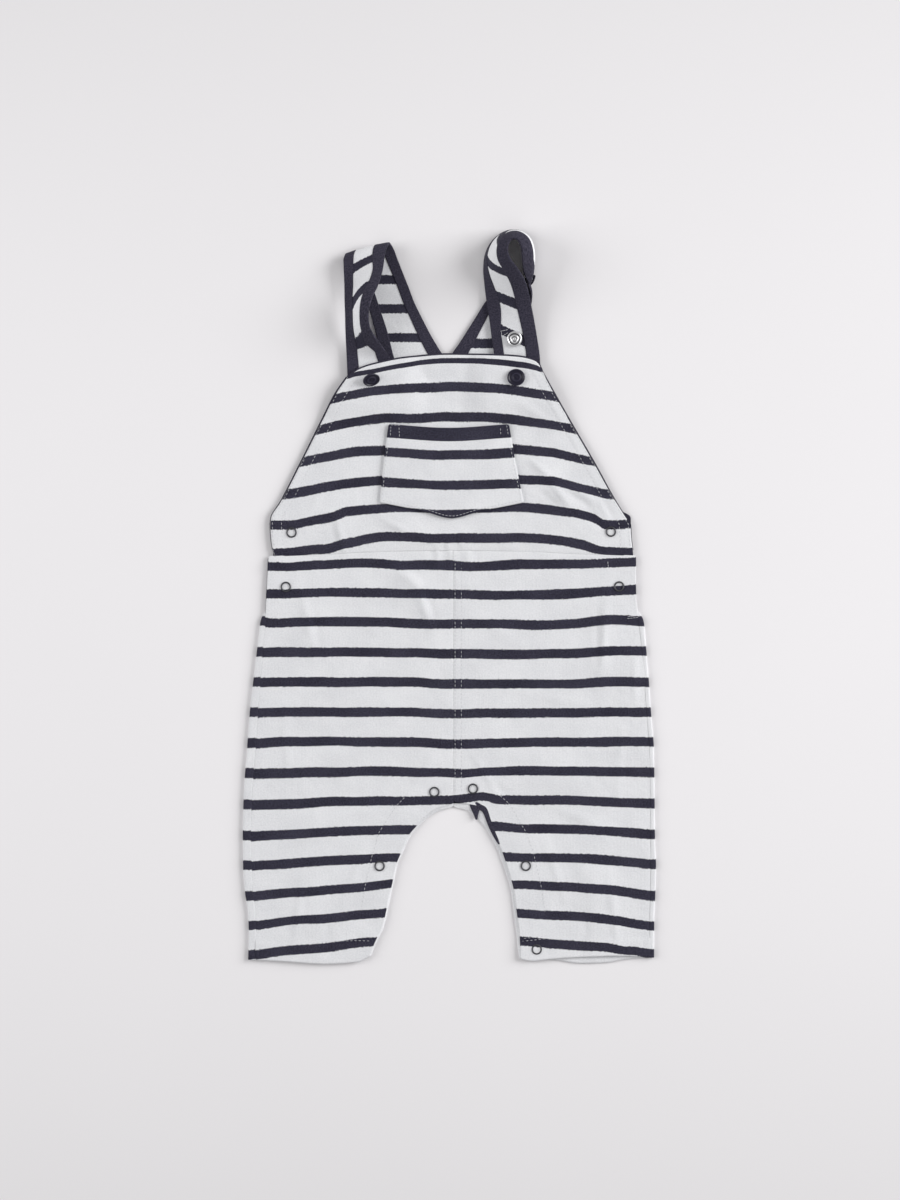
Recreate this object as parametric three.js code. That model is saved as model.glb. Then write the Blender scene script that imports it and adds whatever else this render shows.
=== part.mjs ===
import * as THREE from 'three';

// Baby dungarees in heavy striped cotton jersey, laid flat on their back, in millimetres.
// x runs from the centre front seam to the right of the picture, y from the hems up to the straps,
// and z up from the surface that the back lies on. Left and right are as seen from above.
// At the end the whole garment is moved so that its origin is under the middle of its box.

// Cloth
const CLOTH = 1.2; // one layer of jersey
const GAP = 0.3; // between pieces that meet at a seam or lie on each other
const HALF_GAP = GAP / 2;
const FRONT_UNDER = CLOTH + GAP; // underside of the front where it lies on the back
const BINDING = 2; // folded tape on the strap edges
const BINDING_SHARE = 0.21; // of the strap's width, on each side
const SEAM_SHARE = 0.014; // of the strap's width, between tape and cloth
const FACING_WIDTH = 1; // navy facing that shows past the bib's edge
const POCKET_HEM = 9; // turned hem along the pocket's mouth
const HEM_EXTRA = 0.6; // what that hem adds to the pocket's thickness

// Press studs
const RING = { outer: 3.45, inner: 2.55, height: 0.8 };
const CAP = { radius: 6, height: 2.2, rim: 0.8, well: 4.2, wellDepth: 0.5 };
const STRAP_STUD = { radius: 5.4, height: 1.9, rim: 0.7, well: 3.6, wellDepth: 0.7 };
const SIDE_CAP = { radius: 3.7, height: 1.6, rim: 0.6, well: 2.5, wellDepth: 0.4 };
const ROUND_STEPS = 16;

const NAVY = 0x3a3745;
const WHITE = 0xdddee0;
const STEEL = 0xb9bbc0;

// Edges of the bib: armholes and sides, from the waist up
const BIB_LEFT = [
  { y: 274.7, x: -120.9 }, { y: 284, x: -122.3 }, { y: 294, x: -122.9 }, { y: 299, x: -122.2 },
  { y: 308, x: -116.6 }, { y: 334, x: -103.2 }, { y: 366, x: -87.2 }, { y: 381, x: -79.4 },
  { y: 393.3, x: -71 },
];
const BIB_RIGHT = [
  { y: 274, x: 121.3 }, { y: 284, x: 119.9 }, { y: 294, x: 119.3 }, { y: 298, x: 116.6 },
  { y: 312, x: 107.9 }, { y: 334, x: 95.8 }, { y: 356, x: 83.1 }, { y: 379, x: 69.7 },
  { y: 396.6, x: 60 },
];
const BIB_TOP = [
  { across: 0, y: 393.3 }, { across: 0.07, y: 399.2 }, { across: 0.15, y: 402.4 },
  { across: 0.3, y: 406.2 }, { across: 0.52, y: 408.5 }, { across: 0.78, y: 407.8 },
  { across: 0.88, y: 406 }, { across: 0.96, y: 402 }, { across: 1, y: 396.6 },
];
const WAIST = [
  { across: 0, y: 274.4 }, { across: 0.15, y: 276 }, { across: 0.5, y: 276.3 },
  { across: 0.85, y: 276 }, { across: 1, y: 274.2 },
];

// Pocket: the two sides, then its sagging mouth and its pointed foot
const POCKET_LEFT = [{ y: 308.5, x: -49.2 }, { y: 336, x: -46.5 }, { y: 361, x: -43.2 }];
const POCKET_RIGHT = [{ y: 308.5, x: 47.6 }, { y: 332, x: 42.6 }, { y: 361, x: 37.5 }];
const POCKET_MOUTH = [{ across: 0, y: 361 }, { across: 0.5, y: 358.5 }, { across: 1, y: 361 }];
const POCKET_FOOT = [
  { across: 0, y: 308.5 }, { across: 0.3, y: 302.8 }, { across: 0.5, y: 297.9 },
  { across: 0.68, y: 302.2 }, { across: 1, y: 308.5 },
];

// Trouser fronts: seam is the side edge of the front, fold is where the back turns over beside it
const SIDE_LEFT = [
  { y: 0, seam: -132, fold: -137.4 }, { y: 21, seam: -132.3, fold: -137 },
  { y: 34, seam: -132.6, fold: -137.6 }, { y: 48, seam: -134.6, fold: -139.6 },
  { y: 65, seam: -135.2, fold: -140.8 }, { y: 88, seam: -135.7, fold: -141 },
  { y: 116, seam: -134.7, fold: -140.2 }, { y: 140, seam: -132.9, fold: -138.4 },
  { y: 168, seam: -131, fold: -136.3 }, { y: 191, seam: -129.1, fold: -133.7 },
  { y: 212, seam: -127.6, fold: -131.2 }, { y: 232, seam: -125.6, fold: -128.3 },
  { y: 250, seam: -124.6, fold: -124.4 }, { y: 276, seam: -123.4, fold: -122 },
];
const SIDE_RIGHT = [
  { y: 0, seam: 132, fold: 134.9 }, { y: 27, seam: 132, fold: 135 },
  { y: 45, seam: 132.3, fold: 135.7 }, { y: 65, seam: 132.7, fold: 136.2 },
  { y: 85, seam: 132.7, fold: 135.5 }, { y: 125, seam: 132.3, fold: 135.1 },
  { y: 145, seam: 131.7, fold: 134.7 }, { y: 166, seam: 130, fold: 133 },
  { y: 186, seam: 128.6, fold: 131.6 }, { y: 212, seam: 126.6, fold: 129.5 },
  { y: 232, seam: 124, fold: 127.2 }, { y: 250, seam: 122.4, fold: 123 },
  { y: 276, seam: 122.4, fold: 121 },
];

// Inner legs, from the hem to the crotch: x of the front's edge and of the back's, which shows past it
const CROTCH = 106.5;
const INNER_LEFT = [
  { y: 0, front: -56, back: -55 }, { y: 5.4, front: -54.3, back: -53.3 },
  { y: 13.4, front: -51.6, back: -50.6 }, { y: 21.4, front: -48.2, back: -47.2 },
  { y: 38.9, front: -44.2, back: -43.2 }, { y: 55.6, front: -40.5, back: -39.6 },
  { y: 66.3, front: -38.2, back: -37.2 }, { y: 75.7, front: -34.2, back: -33 },
  { y: 85.1, front: -30.2, back: -28.6 }, { y: 92.5, front: -24.1, back: -22.4 },
  { y: 98.5, front: -18.8, back: -15.6 }, { y: 103.9, front: -10.7, back: 0 },
  { y: CROTCH, front: 0, back: 0 },
];
const INNER_RIGHT = [
  { y: 0, front: 45.6, back: 44.4 }, { y: 18.1, front: 44.9, back: 42.2 },
  { y: 34.8, front: 42.9, back: 39.4 }, { y: 48.2, front: 41.2, back: 37 },
  { y: 59, front: 38.3, back: 33.4 }, { y: 73, front: 33.8, back: 28.4 },
  { y: 86.4, front: 28.1, back: 22.6 }, { y: 95.8, front: 24.8, back: 19.4 },
  { y: 100.5, front: 23.2, back: 14 }, { y: 103.9, front: 21, back: 0 },
  { y: CROTCH, front: 12, back: 0 }, { y: CROTCH + 1.2, front: 0, back: 0 },
];
const HEM_LEFT = [
  { across: 0, y: 2 }, { across: 0.25, y: 1 }, { across: 0.6, y: -0.7 }, { across: 0.9, y: 0.7 },
  { across: 1, y: 4.6 },
];
const HEM_RIGHT = [
  { across: 0, y: 2.7 }, { across: 0.08, y: 1.3 }, { across: 0.25, y: 2.7 },
  { across: 0.5, y: 4 }, { across: 0.8, y: 4.7 }, { across: 1, y: 3.8 },
];
const HEM_RIGHT_BACK = [
  { across: 0, y: 2.9 }, { across: 0.25, y: 1.9 }, { across: 0.46, y: -0.5 },
  { across: 0.64, y: 0 }, { across: 0.8, y: 2.4 }, { across: 1, y: 3.6 },
];
const HEM_REACH = 30; // height over which the hem's curve fades out
const LEG_LEVELS = [
  0, 12, 24, 37, 50, 62, 73, 82, 90, 96, 100.5, 103.9, CROTCH, CROTCH + 1.2, 118, 136, 154, 172,
  190, 208, 222, 231, 237, 250, 263, 276,
];
const LAST_WRAPPED = 232; // above this the sides are open and nothing turns over

// Back bodice, hidden but for the corners at the armholes
const BODICE_LEFT = [
  { y: 276, x: -121.6 }, { y: 292, x: -119 }, { y: 300, x: -112.5 }, { y: 312, x: -104 },
  { y: 335, x: -88 }, { y: 360, x: -72 }, { y: 385, x: -58 }, { y: 404, x: -49.2 },
];
const BODICE_RIGHT = [
  { y: 276, x: 120.6 }, { y: 292, x: 119.8 }, { y: 301, x: 118.6 }, { y: 312, x: 103 },
  { y: 335, x: 86 }, { y: 360, x: 70 }, { y: 385, x: 57 }, { y: 404, x: 47.9 },
];
const BODICE_FOOT = 276.7;
const NECK_Y = 404;
const BACK_BINDING = 5; // width of the tape along the back armholes

// Straps, from the back bodice up, over and down behind the bib. Each row is one section:
// outer is the armhole side, inner the neck side, bow lifts the middle outwards, wave makes an S.
const STRAP_LEFT = [
  { outer: [-49.2, 404.3, 1.1], inner: [-3.6, 404.3, 1.1], bow: 0, wave: 0 },
  { outer: [-49.9, 409.4, 1.1], inner: [-8, 409.4, 1.1], bow: 0, wave: 0 },
  { outer: [-51.6, 420.8, 1.1], inner: [-14.9, 420.8, 1.1], bow: 0, wave: 0 },
  { outer: [-54.6, 432.2, 1.1], inner: [-20.8, 432.2, 1.1], bow: 0, wave: 0 },
  { outer: [-57.6, 442.2, 1.1], inner: [-25.7, 442.2, 1.1], bow: 0, wave: 0 },
  { outer: [-61, 452.3, 1.1], inner: [-29.8, 452.9, 1.1], bow: 0, wave: 0 },
  { outer: [-65.7, 463, 1.1], inner: [-33.8, 463, 1.1], bow: 0, wave: 0 },
  { outer: [-69.3, 469.7, 1.5], inner: [-37.2, 471.7, 1.5], bow: 0, wave: 0 },
  { outer: [-72, 473.8, 2.8], inner: [-39.5, 478, 3.2], bow: 0, wave: 0 },
  { outer: [-73, 475.4, 5], inner: [-42.2, 482.4, 6.2], bow: 0, wave: 0 },
  { outer: [-73.2, 473.4, 7], inner: [-43.8, 480.2, 9.4], bow: 0, wave: 0 },
  { outer: [-73.1, 467.6, 7.6], inner: [-45.6, 473, 11.6], bow: 0.3, wave: 0.3 },
  { outer: [-72.8, 460.4, 7.4], inner: [-48.2, 463, 15.4], bow: 0.6, wave: 0.8 },
  { outer: [-72.4, 452, 7], inner: [-51.6, 453.4, 19.4], bow: 0.8, wave: 1.2 },
  { outer: [-72.2, 443.5, 6.5], inner: [-54.6, 444.2, 22.4], bow: 0.8, wave: 1.4 },
  { outer: [-71.8, 434.2, 6], inner: [-55.3, 434.2, 22.6], bow: 0.8, wave: 1.4 },
  { outer: [-71.6, 424.1, 5], inner: [-53.3, 423.4, 18.4], bow: 1, wave: 1 },
  { outer: [-71.4, 414.1, 4], inner: [-47.9, 413.4, 9.4], bow: 1.4, wave: 0.4 },
  { outer: [-71.2, 405.4, 3.4], inner: [-42, 404.6, 3.6], bow: 0.2, wave: 0 },
  { outer: [-70.7, 394, 3.4], inner: [-38.9, 393.3, 3.4], bow: 0, wave: 0 },
  { outer: [-69.7, 382.6, 3.4], inner: [-37.5, 381.9, 3.4], bow: 0, wave: 0 },
];
const STRAP_RIGHT = [
  { outer: [47.9, 404.3, 1.1], inner: [-3.2, 404.3, 1.1], bow: 0, wave: 0 },
  { outer: [48.6, 409.4, 1.1], inner: [0, 409.4, 1.1], bow: 0, wave: 0 },
  { outer: [49.6, 417.4, 1.1], inner: [4.7, 416.1, 1.1], bow: 0, wave: 0 },
  { outer: [50.9, 427.5, 1.1], inner: [10.4, 425.1, 1.1], bow: 0, wave: 0 },
  { outer: [52, 437.5, 2], inner: [16.4, 434.5, 1.1], bow: 0, wave: 0 },
  { outer: [53, 445, 4.6], inner: [22.8, 444.2, 1.1], bow: 0.5, wave: 0 },
  { outer: [52.8, 450.6, 9.4], inner: [32.5, 449.8, 1.1], bow: 1.6, wave: 0 },
  { outer: [51.2, 455.5, 15.6], inner: [43, 454.4, 1.1], bow: 2.4, wave: 0 },
  { outer: [49.5, 461, 21], inner: [50.5, 460, 1.1], bow: 2.8, wave: 0 },
  { outer: [48, 467.5, 24.4], inner: [53, 468, 1.1], bow: 3, wave: 0 },
  { outer: [46.5, 474.5, 26], inner: [53.2, 477, 1.1], bow: 3.2, wave: 0 },
  { outer: [45.2, 480.6, 26.4], inner: [51, 485, 1.1], bow: 3.2, wave: 0 },
  { outer: [42.6, 484.6, 26.4], inner: [45.5, 489.8, 1.1], bow: 3, wave: 0 },
  { outer: [39.6, 485.2, 26.4], inner: [38.5, 490.6, 1.1], bow: 3, wave: 0 },
  { outer: [37.2, 482.6, 26.4], inner: [31.5, 488, 1.1], bow: 3.2, wave: 0 },
  { outer: [36.4, 477, 26], inner: [25.6, 482.2, 1.1], bow: 3.6, wave: 0 },
  { outer: [38.2, 470.8, 25.2], inner: [22, 474, 1.1], bow: 3.6, wave: 0 },
  { outer: [42.4, 464.6, 23.2], inner: [21, 464.5, 1.4], bow: 3.2, wave: 0 },
  { outer: [47, 457.2, 19.6], inner: [21.6, 455, 2.2], bow: 2.4, wave: 0 },
  { outer: [50, 448.8, 14.8], inner: [22.5, 445.6, 3.2], bow: 1.8, wave: 0 },
  { outer: [52.6, 438.9, 9.6], inner: [23.8, 436.2, 3.8], bow: 1.4, wave: 0 },
  { outer: [54.6, 428.8, 6.8], inner: [25, 426.8, 3.8], bow: 1, wave: 0 },
  { outer: [56.3, 418.8, 4.8], inner: [26.1, 417.4, 3.6], bow: 0.6, wave: 0 },
  { outer: [58, 408, 3.6], inner: [27.5, 407.4, 3.5], bow: 0.2, wave: 0 },
  { outer: [58.6, 396.6, 3.4], inner: [28.1, 396, 3.4], bow: 0, wave: 0 },
  { outer: [59, 382.6, 3.4], inner: [28.1, 382.6, 3.4], bow: 0, wave: 0 },
];
const STRAP_END_LIFT = 3.4; // how far the bib rises over a strap end
const STRAP_ENDS = [{ x: -54.5, y: 376 }, { x: 43.5, y: 376 }];
const STRAP_END_HALF = 20;
const TOP_LIFT = 1.2; // how far the bib's top edge rises over the back neck
const SOFT = 10; // length over which such a lift fades out

// Soft folds of the front: middle, direction in degrees, half length, half width and height
const FOLDS = [
  { x: -38, y: 296, turn: -30, long: 17, wide: 7, high: 1.4 },
  { x: -75, y: 287, turn: 80, long: 12, wide: 7, high: 1.2 },
  { x: 73, y: 313, turn: -45, long: 16, wide: 9, high: 1.2 },
  { x: 60, y: 332, turn: -35, long: 14, wide: 8, high: 1 },
  { x: 0, y: 284, turn: 3, long: 30, wide: 6, high: 1 },
  { x: -32, y: 257, turn: 35, long: 15, wide: 7, high: 1.1 },
  { x: -19, y: 238, turn: 75, long: 17, wide: 8, high: 1.1 },
  { x: 101, y: 218, turn: 88, long: 26, wide: 9, high: 1.2 },
  { x: 118, y: 190, turn: 92, long: 26, wide: 7, high: 1 },
  { x: -95, y: 228, turn: 100, long: 30, wide: 10, high: 1 },
  { x: -60, y: 150, turn: 20, long: 34, wide: 12, high: 1 },
  { x: 62, y: 128, turn: -20, long: 32, wide: 12, high: 1 },
  { x: -92, y: 40, turn: 80, long: 30, wide: 12, high: 1.2 },
  { x: 96, y: 44, turn: 95, long: 32, wide: 12, high: 1.2 },
];

// Reads one column of a table at a key between its rows.
function read(table, key, column, value) {
  const last = table.length - 1;
  let row = 0;
  while (row < last - 1 && value > table[row + 1][key]) row += 1;
  const from = table[row];
  const to = table[row + 1];
  const share = THREE.MathUtils.clamp((value - from[key]) / (to[key] - from[key]), 0, 1);
  return THREE.MathUtils.lerp(from[column], to[column], share);
}

const ease = (value) => THREE.MathUtils.smoothstep(value, 0, 1);
const lerp = THREE.MathUtils.lerp;

// Height of the front's underside over the surface.
function frontUnder(x, y) {
  let z = FRONT_UNDER;
  for (const fold of FOLDS) {
    const turn = THREE.MathUtils.degToRad(fold.turn);
    const dx = x - fold.x;
    const dy = y - fold.y;
    const along = (dx * Math.cos(turn) + dy * Math.sin(turn)) / fold.long;
    const aside = (dy * Math.cos(turn) - dx * Math.sin(turn)) / fold.wide;
    z += fold.high * Math.exp(-along * along - aside * aside);
  }
  let lift = TOP_LIFT * ease((y - 388) / SOFT);
  for (const end of STRAP_ENDS) {
    const beside = 1 - ease((Math.abs(x - end.x) - STRAP_END_HALF) / SOFT);
    lift = Math.max(lift, STRAP_END_LIFT * beside * ease((y - end.y + SOFT) / SOFT));
  }
  return z + lift;
}

const frontTop = (x, y) => frontUnder(x, y) + CLOTH;

// Closes two grids of points, under and over, into one body with its faces out.
function closeGrids(under, over) {
  const rows = under.length;
  const columns = under[0].length;
  const points = [...under.flat(), ...over.flat()];
  const half = rows * columns;
  const index = [];
  const quad = (a, b, c, d) => index.push(a, b, c, a, c, d);
  for (let row = 0; row < rows - 1; row += 1) {
    for (let column = 0; column < columns - 1; column += 1) {
      const a = row * columns + column;
      quad(a, a + columns, a + columns + 1, a + 1);
      quad(half + a, half + a + 1, half + a + columns + 1, half + a + columns);
    }
  }
  const rim = [];
  for (let column = 0; column < columns - 1; column += 1) rim.push(column);
  for (let row = 0; row < rows - 1; row += 1) rim.push(row * columns + columns - 1);
  for (let column = columns - 1; column > 0; column -= 1) rim.push((rows - 1) * columns + column);
  for (let row = rows - 1; row > 0; row -= 1) rim.push(row * columns);
  rim.forEach((here, step) => {
    const next = rim[(step + 1) % rim.length];
    quad(here, next, half + next, half + here);
  });
  return solid(points, index);
}

// Makes the geometry, turning the faces round where they point in.
function solid(points, index) {
  let volume = 0;
  for (let face = 0; face < index.length; face += 3) {
    const [a, b, c] = [points[index[face]], points[index[face + 1]], points[index[face + 2]]];
    volume += a.dot(b.clone().cross(c));
  }
  if (volume < 0) index.reverse();
  const geometry = new THREE.BufferGeometry().setFromPoints(points);
  geometry.setIndex(index);
  geometry.computeVertexNormals();
  return geometry;
}

// Place in plan of a point of a panel, by its level from foot to top and its share across.
function planPoint({ foot, top, left, right }, level, across) {
  const y = lerp(foot(across), top(across), level);
  const leftX = left(lerp(foot(0), top(0), level));
  const rightX = right(lerp(foot(1), top(1), level));
  return new THREE.Vector3(lerp(leftX, rightX, across), y, 0);
}

// A panel between two side edges, a foot and a top, with its underside at a given height.
function panelGeometry(outline) {
  const { columns, levels, under, thickness } = outline;
  const lower = [];
  const upper = [];
  for (const level of levels) {
    const lowRow = [];
    const highRow = [];
    for (let column = 0; column <= columns; column += 1) {
      const { x, y } = planPoint(outline, level, column / columns);
      const z = under(x, y);
      lowRow.push(new THREE.Vector3(x, y, z));
      highRow.push(new THREE.Vector3(x, y, z + thickness(x, y)));
    }
    lower.push(lowRow);
    upper.push(highRow);
  }
  return closeGrids(lower, upper);
}

const evenLevels = (rows) => Array.from({ length: rows + 1 }, (_, row) => row / rows);

// The bib stops one facing and one gap inside its outline.
const bibInset = FACING_WIDTH + GAP;
const bibColumns = 18;
const bibRows = 16;
const bib = {
  foot: (across) => read(WAIST, 'across', 'y', across) + HALF_GAP,
  top: (across) => read(BIB_TOP, 'across', 'y', across) - bibInset,
  left: (y) => read(BIB_LEFT, 'y', 'x', y) + bibInset,
  right: (y) => read(BIB_RIGHT, 'y', 'x', y) - bibInset,
  columns: bibColumns,
  levels: evenLevels(bibRows),
  under: frontUnder,
  thickness: () => CLOTH,
};

// A narrow strip of facing outside a run of the bib's own edge points, given from end to end.
function facingGeometry(edge) {
  const lower = [];
  const upper = [];
  edge.forEach((point, step) => {
    const before = edge[Math.max(step - 1, 0)];
    const after = edge[Math.min(step + 1, edge.length - 1)];
    const outward = new THREE.Vector3(after.y - before.y, before.x - after.x, 0).normalize();
    const sides = [GAP, bibInset].map((reach) => point.clone().addScaledVector(outward, reach));
    lower.push(sides.map((side) => side.clone().setZ(frontUnder(side.x, side.y))));
    upper.push(sides.map((side) => side.clone().setZ(frontTop(side.x, side.y))));
  });
  return closeGrids(lower, upper);
}

const bibColumnSteps = Array.from({ length: bibColumns + 1 }, (_, column) => column / bibColumns);
const topEdge = bibColumnSteps.map((across) => planPoint(bib, 1, across)).reverse();
const leftEdge = bib.levels.slice(1).map((level) => planPoint(bib, level, 0)).reverse();
const rightEdge = bib.levels.slice(1).map((level) => planPoint(bib, level, 1));

function pocketGeometry() {
  const mouth = (across) => read(POCKET_MOUTH, 'across', 'y', across);
  return panelGeometry({
    foot: (across) => read(POCKET_FOOT, 'across', 'y', across),
    top: mouth,
    left: (y) => read(POCKET_LEFT, 'y', 'x', y),
    right: (y) => read(POCKET_RIGHT, 'y', 'x', y),
    columns: 12,
    levels: [0, 0.15, 0.35, 0.55, 0.72, 0.8, 0.84, 1],
    under: (x, y) => frontTop(x, y) + GAP,
    thickness: (x, y) => CLOTH + HEM_EXTRA * ease((y - POCKET_MOUTH[1].y + POCKET_HEM) / 2),
  });
}

// Rows of a trouser leg: y bends to the hem's curve below and to the waist's curve above.
function legY(level, across, hem) {
  const hemShare = 1 - ease(level / HEM_REACH);
  const waistShare = ease((level - 255) / 21);
  const waistY = read(WAIST, 'across', 'y', across) - HALF_GAP - LEG_LEVELS.at(-1);
  return level + hemShare * read(hem.table, 'across', 'y', hem.across(across)) + waistShare * waistY;
}

// Trouser front: from the side edge to the centre seam, and below the crotch to the inner leg.
function frontLegGeometry({ side, inner, hem, mirror, columns }) {
  const lower = [];
  const upper = [];
  for (const level of LEG_LEVELS) {
    const wrapped = level <= LAST_WRAPPED ? HALF_GAP : 0;
    const sideX = read(side, 'y', 'seam', level) + mirror * wrapped;
    const innerX = read(inner, 'y', 'front', level) - mirror * HALF_GAP;
    const lowRow = [];
    const highRow = [];
    for (let column = 0; column <= columns; column += 1) {
      const across = column / columns;
      const x = lerp(sideX, innerX, across);
      const y = legY(level, waistAcross(x), { table: hem, across: () => hemAcross(across, mirror) });
      const z = frontUnder(x, y);
      lowRow.push(new THREE.Vector3(x, y, z));
      highRow.push(new THREE.Vector3(x, y, z + CLOTH));
    }
    lower.push(lowRow);
    upper.push(highRow);
  }
  return closeGrids(lower, upper);
}

const waistAcross = (x) => (x - BIB_LEFT[0].x) / (BIB_RIGHT[0].x - BIB_LEFT[0].x);
const hemAcross = (across, mirror) => (mirror > 0 ? across : 1 - across);

// Trouser back: flat on the surface, then round the side fold and over to the side seam.
function backLegGeometry({ side, inner, hem, mirror }) {
  const flatSteps = 5;
  const turnSteps = 4;
  const topSteps = 1;
  const middle = CLOTH + HALF_GAP; // height of the fold's centre
  const radius = middle - CLOTH / 2;
  const lower = [];
  const upper = [];
  for (const level of LEG_LEVELS) {
    const innerX = read(inner, 'y', 'back', level) - mirror * HALF_GAP;
    const foldX = read(side, 'y', 'fold', level);
    const seamX = read(side, 'y', 'seam', level) - mirror * HALF_GAP;
    const turnX = foldX + mirror * middle;
    const lowRow = [];
    const highRow = [];
    const add = (x, z, normalX, normalZ) => {
      const across = THREE.MathUtils.clamp((x - innerX) / (foldX - innerX), 0, 1);
      const y = legY(level, waistAcross(x), { table: hem, across: () => hemAcross(1 - across, mirror) });
      const half = CLOTH / 2;
      highRow.push(new THREE.Vector3(x + normalX * half, y, z + normalZ * half));
      lowRow.push(new THREE.Vector3(x - normalX * half, y, z - normalZ * half));
    };
    for (let step = 0; step <= flatSteps; step += 1) {
      add(lerp(innerX, turnX, step / flatSteps), CLOTH / 2, 0, 1);
    }
    const wrapped = level <= LAST_WRAPPED;
    for (let step = 1; step <= turnSteps; step += 1) {
      const angle = (Math.PI * step) / turnSteps;
      const out = Math.sin(angle);
      const up = Math.cos(angle);
      if (wrapped) add(turnX - mirror * radius * out, middle - radius * up, mirror * out, up);
      else add(turnX - (mirror * middle * step) / (turnSteps + topSteps), CLOTH / 2, 0, 1);
    }
    if (wrapped) add(seamX, CLOTH / 2 + CLOTH + GAP, 0, -1);
    else add(foldX, CLOTH / 2, 0, 1);
    lower.push(lowRow);
    upper.push(highRow);
  }
  return closeGrids(lower, upper);
}

const bodiceRows = 14;

function bodiceGeometry() {
  const inset = BACK_BINDING + GAP;
  return panelGeometry({
    foot: () => BODICE_FOOT,
    top: () => NECK_Y,
    left: (y) => read(BODICE_LEFT, 'y', 'x', y) + inset,
    right: (y) => read(BODICE_RIGHT, 'y', 'x', y) - inset,
    columns: 6,
    levels: evenLevels(bodiceRows),
    under: () => 0,
    thickness: () => CLOTH,
  });
}

// Tape along one back armhole, as a flat strip inside the bodice's outline.
function backBindingGeometry(table, mirror) {
  const lower = [];
  const upper = [];
  for (const level of evenLevels(bodiceRows)) {
    const y = lerp(BODICE_FOOT, NECK_Y, level);
    const edge = read(table, 'y', 'x', y);
    const row = [edge, edge + mirror * BACK_BINDING];
    lower.push(row.map((x) => new THREE.Vector3(x, y, 0)));
    upper.push(row.map((x) => new THREE.Vector3(x, y, CLOTH)));
  }
  return closeGrids(lower, upper);
}

// A point on a strap's middle surface: row along it, share from its outer to its inner edge.
function strapMiddle(table, row, share) {
  const place = THREE.MathUtils.clamp(row, 0, table.length - 1);
  const from = table[Math.floor(place)];
  const to = table[Math.ceil(place)];
  const part = place - Math.floor(place);
  const [outer, inner] = ['outer', 'inner'].map((edge) =>
    new THREE.Vector3(...from[edge]).lerp(new THREE.Vector3(...to[edge]), part));
  const section = { bow: lerp(from.bow, to.bow, part), wave: lerp(from.wave, to.wave, part) };
  return { point: outer.clone().lerp(inner, share), across: inner.sub(outer), section };
}

function strapPoint(table, row, share, mirror) {
  const { point, across, section } = strapMiddle(table, row, share);
  const along = strapMiddle(table, row + 1, 0.5).point.sub(strapMiddle(table, row - 1, 0.5).point);
  const outward = along.cross(across).multiplyScalar(mirror).normalize();
  const bow = section.bow * 4 * share * (1 - share);
  const wave = section.wave * Math.sin(2 * Math.PI * share);
  return point.addScaledVector(outward, bow - wave);
}

function strapFrame(table, row, share, mirror) {
  const nudge = 0.02;
  const last = table.length - 1;
  const ahead = strapPoint(table, Math.min(row + 1, last), share, mirror);
  const behind = strapPoint(table, Math.max(row - 1, 0), share, mirror);
  const along = ahead.sub(behind);
  const in1 = strapPoint(table, row, Math.min(share + nudge, 1), mirror);
  const in0 = strapPoint(table, row, Math.max(share - nudge, 0), mirror);
  const normal = along.cross(in1.sub(in0)).multiplyScalar(mirror).normalize();
  return { point: strapPoint(table, row, share, mirror), normal };
}

// A wall along the strap between two shares of its width.
function strapWall(table, shares, thickness, mirror) {
  const lower = [];
  const upper = [];
  table.forEach((_, row) => {
    const frames = shares.map((share) => strapFrame(table, row, share, mirror));
    lower.push(frames.map(({ point, normal }) => point.clone().addScaledVector(normal, -thickness / 2)));
    upper.push(frames.map(({ point, normal }) => point.clone().addScaledVector(normal, thickness / 2)));
  });
  return closeGrids(lower, upper);
}

// A stud part turned about z: flat base, rounded rim and a shallow well in the top.
function capGeometry({ radius, height, rim, well, wellDepth }) {
  const profile = [
    new THREE.Vector2(0, 0),
    new THREE.Vector2(radius - rim, 0),
    new THREE.Vector2(radius, rim),
    new THREE.Vector2(radius - rim / 2, height - rim / 4),
    new THREE.Vector2(well + rim / 2, height),
    new THREE.Vector2(well, height - wellDepth),
    new THREE.Vector2(0, height - wellDepth),
  ];
  return turned(profile);
}

function ringGeometry({ outer, inner, height }) {
  const bevel = height / 4;
  const profile = [
    new THREE.Vector2(inner, 0),
    new THREE.Vector2(outer, 0),
    new THREE.Vector2(outer, height - bevel),
    new THREE.Vector2(outer - bevel, height),
    new THREE.Vector2(inner, height - bevel),
    new THREE.Vector2(inner, 0),
  ];
  return turned(profile);
}

// LatheGeometry turns about y, so the result is laid over to turn about z.
const turned = (profile) => new THREE.LatheGeometry(profile, ROUND_STEPS).rotateX(Math.PI / 2);

const jersey = (color) => new THREE.MeshStandardMaterial({ color, roughness: 0.95, metalness: 0 });
const cloth = jersey(WHITE);
const tape = jersey(NAVY);
const lacquer = new THREE.MeshStandardMaterial({ color: NAVY, roughness: 0.4, metalness: 0.2 });
const steel = new THREE.MeshStandardMaterial({ color: STEEL, roughness: 0.3, metalness: 0.9 });

const garment = new THREE.Group();

function add(name, geometry, material) {
  const mesh = new THREE.Mesh(geometry, material);
  mesh.name = name;
  garment.add(mesh);
  return mesh;
}

add('bib_front', panelGeometry(bib), cloth);
add('bib_facing_top', facingGeometry(topEdge), tape);
add('bib_facing_left', facingGeometry(leftEdge), tape);
add('bib_facing_right', facingGeometry(rightEdge), tape);
add('pocket', pocketGeometry(), cloth);

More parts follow.
